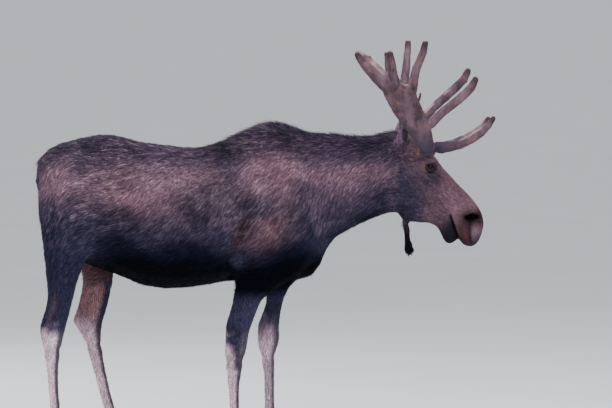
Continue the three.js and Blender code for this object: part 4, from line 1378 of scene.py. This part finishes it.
def tuft_tree():
    """Sows tufts on the skin, lays them the way the hair lies, and gives each its patch of the map."""
    s = Scatter()
    for name, kind in SOW_INPUTS.items():
        s.socket(name, kind)
    s.socket("Geometry", "Geometry", way="OUTPUT")
    start = s.node("NodeGroupInput")
    end = s.node("NodeGroupOutput")
    given = {socket.name: socket for socket in start.outputs}
    seed = given["Seed"]

    sow = s.node("GeometryNodeDistributePointsOnFaces", distribute_method="RANDOM")
    s.put(given["Geometry"], sow.inputs["Mesh"])
    s.put(s.maths("MULTIPLY", given["Density"], s.named("Close")), sow.inputs["Density"])
    s.put(seed, sow.inputs["Seed"])
    normal = sow.outputs["Normal"]
    points = s.keep(sow.outputs["Points"], "Tint", "FLOAT", "POINT", s.random(0.0, 1.0, seed, 11))

    stray = s.random((-1, -1, -1), (1, 1, 1), seed, 23, "FLOAT_VECTOR")
    stray = s.vectors("SCALE", stray, scale=given["Untidy"])
    lift = s.maths("MULTIPLY", s.named("Lift"), s.random(0.4, 1.7, seed, 37))
    way = s.vectors("ADD", s.named("Lie", "FLOAT_VECTOR"), stray)
    way = s.vectors("ADD", way, s.vectors("SCALE", normal, scale=lift))
    turn = s.node("FunctionNodeAxesToRotation", primary_axis="Y", secondary_axis="Z")
    s.put(way, turn.inputs["Primary Axis"])
    s.put(normal, turn.inputs["Secondary Axis"])

    size = s.node("ShaderNodeCombineXYZ")
    wide = s.maths("MULTIPLY", s.named("Width"), given["Width"])
    wide = s.maths("MULTIPLY", wide, s.random(0.7, 1.35, seed, 41))
    long = s.maths("MULTIPLY", s.named("Hair"), given["Length"])
    long = s.maths("MULTIPLY", long, s.random(0.65, 1.25, seed, 53))
    s.put(wide, size.inputs[0])
    s.put(long, size.inputs[1])
    s.put(wide, size.inputs[2])

    tuft = s.node("GeometryNodeObjectInfo")
    s.put(given["Tuft"], tuft.inputs["Object"])
    plant = s.node("GeometryNodeInstanceOnPoints")
    s.put(points, plant.inputs["Points"])
    s.put(tuft.outputs["Geometry"], plant.inputs["Instance"])
    s.put(turn.outputs["Rotation"], plant.inputs["Rotation"])
    s.put(size.outputs[0], plant.inputs["Scale"])
    real = s.node("GeometryNodeRealizeInstances")
    s.put(plant.outputs["Instances"], real.inputs["Geometry"])
    patch = s.vectors("ADD", s.named("RootUV", "FLOAT_VECTOR"), s.named("LocalUV", "FLOAT_VECTOR"))
    done = s.keep(real.outputs["Geometry"], "OFBake", "FLOAT2", "CORNER", patch)
    for name in ("RootUV", "LocalUV", "Lie", "Hair", "Width", "Lift", "Close", "Bare"):
        done = s.drop(done, name)
    paint = s.node("GeometryNodeSetMaterial")
    s.put(done, paint.inputs["Geometry"])
    s.put(given["Material"], paint.inputs["Material"])
    s.put(paint.outputs["Geometry"], end.inputs["Geometry"])
    return s.tree


def feed(modifier, tree, **values):
    """Sets a node modifier's inputs by their sockets' identifiers."""
    for item in tree.interface.items_tree:
        if item.in_out == "INPUT" and item.name in values:
            modifier[item.identifier] = values[item.name]


def sown_area(mesh):
    """Area of the skin weighed by how close its tufts stand."""
    close = np.empty(len(mesh.vertices), np.float32)
    mesh.attributes["Close"].data.foreach_get("value", close)
    mesh.calc_loop_triangles()
    corners = np.empty(len(mesh.loop_triangles) * 3, int)
    mesh.loop_triangles.foreach_get("vertices", corners)
    corners = corners.reshape(-1, 3)
    points, _ = mesh_arrays(mesh)
    a, b, c = (points[corners[:, i]] for i in range(3))
    areas = np.linalg.norm(np.cross(b - a, c - a), axis=1) / 2
    return float(np.sum(areas * close[corners].mean(1)))


GUARD_LAYER = 5  # the layers from this one on are guard hair, longer, slimmer and less tidy
UNDERCOAT = {"Length": 1.0, "Width": 1.0, "Untidy": 0.085}
GUARD_HAIR = {"Length": 1.25, "Width": 0.75, "Untidy": 0.14}


class MOOSE_OT_coat(bpy.types.Operator):
    """Sows the summer coat over the skin in layers of overlapping tufts"""

    bl_idname = "moose.coat"
    bl_label = "Coat"

    def execute(self, context):
        chosen = settings()
        skin = bpy.data.objects["moose_skin"]
        ground = skin.data.copy()
        ground.uv_layers["OFBake"].name = "RootUV"
        density = chosen.tufts / sown_area(ground)
        tree = tuft_tree()
        tuft = tuft_shape()
        bpy.context.scene.collection.objects.link(tuft)
        finish = coat_finish()
        count = chosen.layers
        for layer in range(count):
            hair = dict(GUARD_HAIR if layer >= GUARD_LAYER else UNDERCOAT)
            hair["Length"] = float(chosen.coat_length * hair["Length"])
            holder = bpy.data.objects.new(f"coat_layer_{layer + 1}", ground)
            bpy.context.scene.collection.objects.link(holder)
            sow = holder.modifiers.new("tufts", "NODES")
            sow.node_group = tree
            seed = 101 + 17 * layer
            feed(sow, tree, Density=float(density), Seed=seed, Tuft=tuft, Material=finish, **hair)
            made = settled(holder)
            bpy.data.objects.remove(holder)
            made.name = f"coat_layer_{layer + 1}"
            shade_smooth(made)
            piece = new_piece(f"coat_layer_{layer + 1}", made)
            if not made.materials:
                made.materials.append(finish)
            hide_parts(*FLESH)
        bpy.data.objects.remove(tuft)
        bpy.data.meshes.remove(ground)
        return {"FINISHED"}


# ---------------------------------------------------------------- eyes
EYEBALL_FIT = 0.992  # of the solid eye's radius
CORNEA_START = 0.78  # how near to the front the bulge starts, as a share of the radius
CORNEA_BULGE = 0.05


class MOOSE_OT_eyes(bpy.types.Operator):
    """Makes both eyeballs with a bulging front"""

    bl_idname = "moose.eyes"
    bl_label = "Eyes"

    def execute(self, context):
        finish = eye_finish()
        for side, sign in SIDES.items():
            ball = bmesh.new()
            bmesh.ops.create_uvsphere(ball, u_segments=48, v_segments=32, radius=1.0)
            outwards = Vector((0.16, sign, 0.04)).normalized()
            across = Vector((0.62, 0.0, -0.30))
            across = (across - outwards * across.dot(outwards)).normalized()
            upright = outwards.cross(across)
            if upright.z < 0:
                upright = -upright
            gaze = []
            for v in ball.verts:
                a, b, front = v.co.x, v.co.y, v.co.z
                gaze.append((a, b, front))
                bulge = CORNEA_BULGE * max(0.0, front - CORNEA_START) / (1 - CORNEA_START)
                reach = EYE_RADIUS * (EYEBALL_FIT + bulge)
                v.co = Vector(EYES[side]) + (across * a + upright * b + outwards * front) * reach
            mesh = bpy.data.meshes.new(f"eyeball_{side}")
            ball.normal_update()  # so that the next line turns the faces of a mirrored ball outwards too
            bmesh.ops.recalc_face_normals(ball, faces=ball.faces)
            ball.to_mesh(mesh)
            ball.free()
            add_values(mesh, "Gaze", "FLOAT_VECTOR", np.array(gaze))
            mesh.materials.append(finish)
            shade_smooth(mesh)
            piece = new_piece(f"eyeball_{side}", mesh)
            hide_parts(f"eye_{side}")
        return {"FINISHED"}


# ---------------------------------------------------------------- antlers
ANTLER_VOXEL = 0.0044
ANTLER_GROW = 0.0019
ANTLER_ROOTS = {
    side: np.array([WITHERS_X + 0.782, MID_Y + sign * 0.112, 1.598]) for side, sign in SIDES.items()
}
FOREHEAD_HEIGHT = 1.606  # the antlers' feet end about here


class MOOSE_OT_antlers(bpy.types.Operator):
    """Fuses each antler into one soft velvet form with a rough burr at its foot"""

    bl_idname = "moose.antlers"
    bl_label = "Antlers"

    def execute(self, context):
        finish = velvet_finish()
        for side, root in ANTLER_ROOTS.items():
            nodes = [f"antler_{side}", f"antler_fork_{side}", f"antler_brow_{side}"]
            mesh, _, _ = fused_flesh(nodes, ANTLER_VOXEL, ANTLER_GROW)
            points, edges = mesh_arrays(mesh)
            for _ in range(9):
                points = spread(points, edges, 1, 0.6)
                points = spread(points, edges, 1, -0.62)
            set_points(mesh, points)
            reach = np.linalg.norm(points - root, axis=1)
            foot = 1 - smooth(0.06, 0.11, reach)
            floor = FOREHEAD_HEIGHT + 0.45 * (points[:, 2] - FOREHEAD_HEIGHT)
            points[:, 2] += (np.maximum(points[:, 2], floor) - points[:, 2]) * foot
            set_points(mesh, points)
            normals = normals_of(mesh)
            lumps = patches(points, 0.070, 31) + 0.5 * patches(points, 0.030, 32)
            rise = 0.0010 * lumps - 0.0002
            rise += 0.004 * mound(reach, 0.030, 0.014) * (0.6 + 0.4 * patches(points, 0.018, 33))
            points += normals * rise[:, None]
            set_points(mesh, points)
            shade_smooth(mesh)
            highest = reach.copy()
            for _ in range(14):
                near = np.maximum(highest[edges[:, 0]], highest[edges[:, 1]])
                np.maximum.at(highest, edges[:, 0], near)
                np.maximum.at(highest, edges[:, 1], near)
            tips = points[(reach >= highest - 1e-9) & (reach > 0.25)]
            to_tip = np.min([np.linalg.norm(points - tip, axis=1) for tip in tips], axis=0)
            # Where the velvet faces up, for the painted highlight of its paler nap.
            nap = smooth(0.2, 0.9, normals[:, 2]) * smooth(-0.6, 0.6, patches(points, 0.09, 35))
            nap = nap * smooth(0.10, 0.25, reach)
            add_values(mesh, "Growth", "FLOAT", 1 - smooth(0.012, 0.075, to_tip) * 0.5)
            add_values(mesh, "LitNap", "FLOAT", nap)
            add_values(mesh, "Base", "FLOAT", 1 - smooth(0.06, 0.30, reach))
            mesh.materials.clear()
            mesh.materials.append(finish)
            piece = new_piece(f"velvet_antler_{side}", mesh)
            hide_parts(*nodes)
        return {"FINISHED"}


# ---------------------------------------------------------------- hooves
HORN_VOXELS = {"hoof": 0.0032, "dewclaw": 0.0022}
RING_STEP = 0.0075
RING_HEIGHT = 0.0004


class MOOSE_OT_hooves(bpy.types.Operator):
    """Rounds the claws and dewclaws and gives them growth rings"""

    bl_idname = "moose.hooves"
    bl_label = "Hooves"

    def execute(self, context):
        finish = horn_finish()
        for leg in LEGS:
            for claw in ("outer", "inner"):
                for kind, voxel in HORN_VOXELS.items():
                    node = f"{kind}_{leg}_{claw}"
                    mesh, _, _ = fused_flesh([node], voxel, 0.0)
                    points, edges = mesh_arrays(mesh)
                    sole = points[:, 2] < 0.0015
                    low = points[:, 2].min()
                    points = spread(points, edges, 5, 0.5, keep=np.where(sole, 0.8, 0.0))
                    set_points(mesh, points)
                    normals = normals_of(mesh)
                    ring = np.sin(points[:, 2] * 2 * math.pi / RING_STEP + 1.5 * patches(points, 0.05, 44))
                    rise = RING_HEIGHT * ring * (1 - np.abs(normals[:, 2])) * (points[:, 2] > 0.004)
                    points += normals * rise[:, None]
                    points[:, 2] = np.maximum(points[:, 2], low)
                    set_points(mesh, points)
                    shade_smooth(mesh)
                    mesh.materials.clear()
                    mesh.materials.append(finish)
                    piece = new_piece(f"horn_{node}", mesh)
                    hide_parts(node)
        return {"FINISHED"}


# ---------------------------------------------------------------- stage
VIEW_AZIMUTH = math.radians(-3.0)
VIEW_HEIGHT = math.radians(3.5)
LENS = 400.0
SENSOR = 36.0
FRAME_WIDTH = 3.06
AIM = (WITHERS_X + 0.180, MID_Y, 1.345)


def soft_light(name, place, aim, size, power, colour=(1, 1, 1)):
    """A soft square light that looks at a place."""
    light = bpy.data.lights.new(name, "AREA")
    light.shape = "RECTANGLE"
    light.size, light.size_y = size
    light.energy = power
    light.color = colour
    lamp = bpy.data.objects.new(name, light)
    lamp.location = place
    lamp.rotation_euler = (Vector(aim) - Vector(place)).to_track_quat("-Z", "Y").to_euler()
    bpy.context.scene.collection.objects.link(lamp)


class MOOSE_OT_stage(bpy.types.Operator):
    """Lays the pale floor, the soft light and the camera"""

    bl_idname = "moose.stage"
    bl_label = "Stage"

    def execute(self, context):
        floor = bmesh.new()
        bmesh.ops.create_grid(floor, x_segments=8, y_segments=8, size=160.0)
        mesh = bpy.data.meshes.new("studio_floor")
        floor.to_mesh(mesh)
        floor.free()
        mesh.materials.append(floor_finish())
        piece = bpy.data.objects.new("studio_floor", mesh)
        piece.location.z = -0.0006
        bpy.context.scene.collection.objects.link(piece)

        world = bpy.data.worlds.new("studio_air")
        world.use_nodes = True
        world.node_tree.nodes["Background"].inputs["Color"].default_value = (0.86, 0.90, 0.96, 1)
        world.node_tree.nodes["Background"].inputs["Strength"].default_value = 0.75
        bpy.context.scene.world = world
        soft_light("sky_panel", (0.2, -1.5, 6.5), (0, 0, 1.2), (6, 5), 420)
        soft_light("front_panel", (1.5, -6.5, 5.4), (0, 0, 1.1), (4, 2.5), 330)
        soft_light("rear_panel", (-3.5, 6.0, 4.5), (0, 0, 1.2), (4, 3), 220, (0.95, 0.97, 1.0))

        distance = FRAME_WIDTH * LENS / SENSOR
        camera = bpy.data.cameras.new("camera")
        camera.lens = LENS
        camera.sensor_width = SENSOR
        camera.clip_end = 200.0
        viewer = bpy.data.objects.new("camera", camera)
        level = math.cos(VIEW_HEIGHT)
        back = Vector(
            (-math.sin(VIEW_AZIMUTH) * level, math.cos(VIEW_AZIMUTH) * level, -math.sin(VIEW_HEIGHT))
        )
        viewer.location = Vector(AIM) - back * distance
        viewer.rotation_euler = back.to_track_quat("-Z", "Y").to_euler()
        bpy.context.scene.collection.objects.link(viewer)
        bpy.context.scene.camera = viewer
        return {"FINISHED"}


class MOOSE_PT_panel(bpy.types.Panel):
    """Lists the steps and the moose's settings"""

    bl_label = "Moose"
    bl_idname = "MOOSE_PT_panel"
    bl_space_type = "VIEW_3D"
    bl_region_type = "UI"
    bl_category = "Moose"

    def draw(self, context):
        for step in STEPS:
            self.layout.operator(step.bl_idname)
        for name in MooseSettings.__annotations__:
            self.layout.prop(context.scene.moose, name)


STEPS = (MOOSE_OT_skin, MOOSE_OT_coat, MOOSE_OT_eyes, MOOSE_OT_antlers, MOOSE_OT_hooves, MOOSE_OT_stage)
CLASSES = (MooseSettings, *STEPS, MOOSE_PT_panel)


def register():
    for kind in CLASSES:
        bpy.utils.register_class(kind)
    bpy.types.Scene.moose = bpy.props.PointerProperty(type=MooseSettings)


def unregister():
    del bpy.types.Scene.moose
    for kind in reversed(CLASSES):
        bpy.utils.unregister_class(kind)


def main():
    register()
    bpy.ops.moose.skin()
    bpy.ops.moose.coat()
    bpy.ops.moose.eyes()
    bpy.ops.moose.antlers()
    bpy.ops.moose.hooves()
    bpy.ops.moose.stage()


if __name__ == "__main__":
    main()
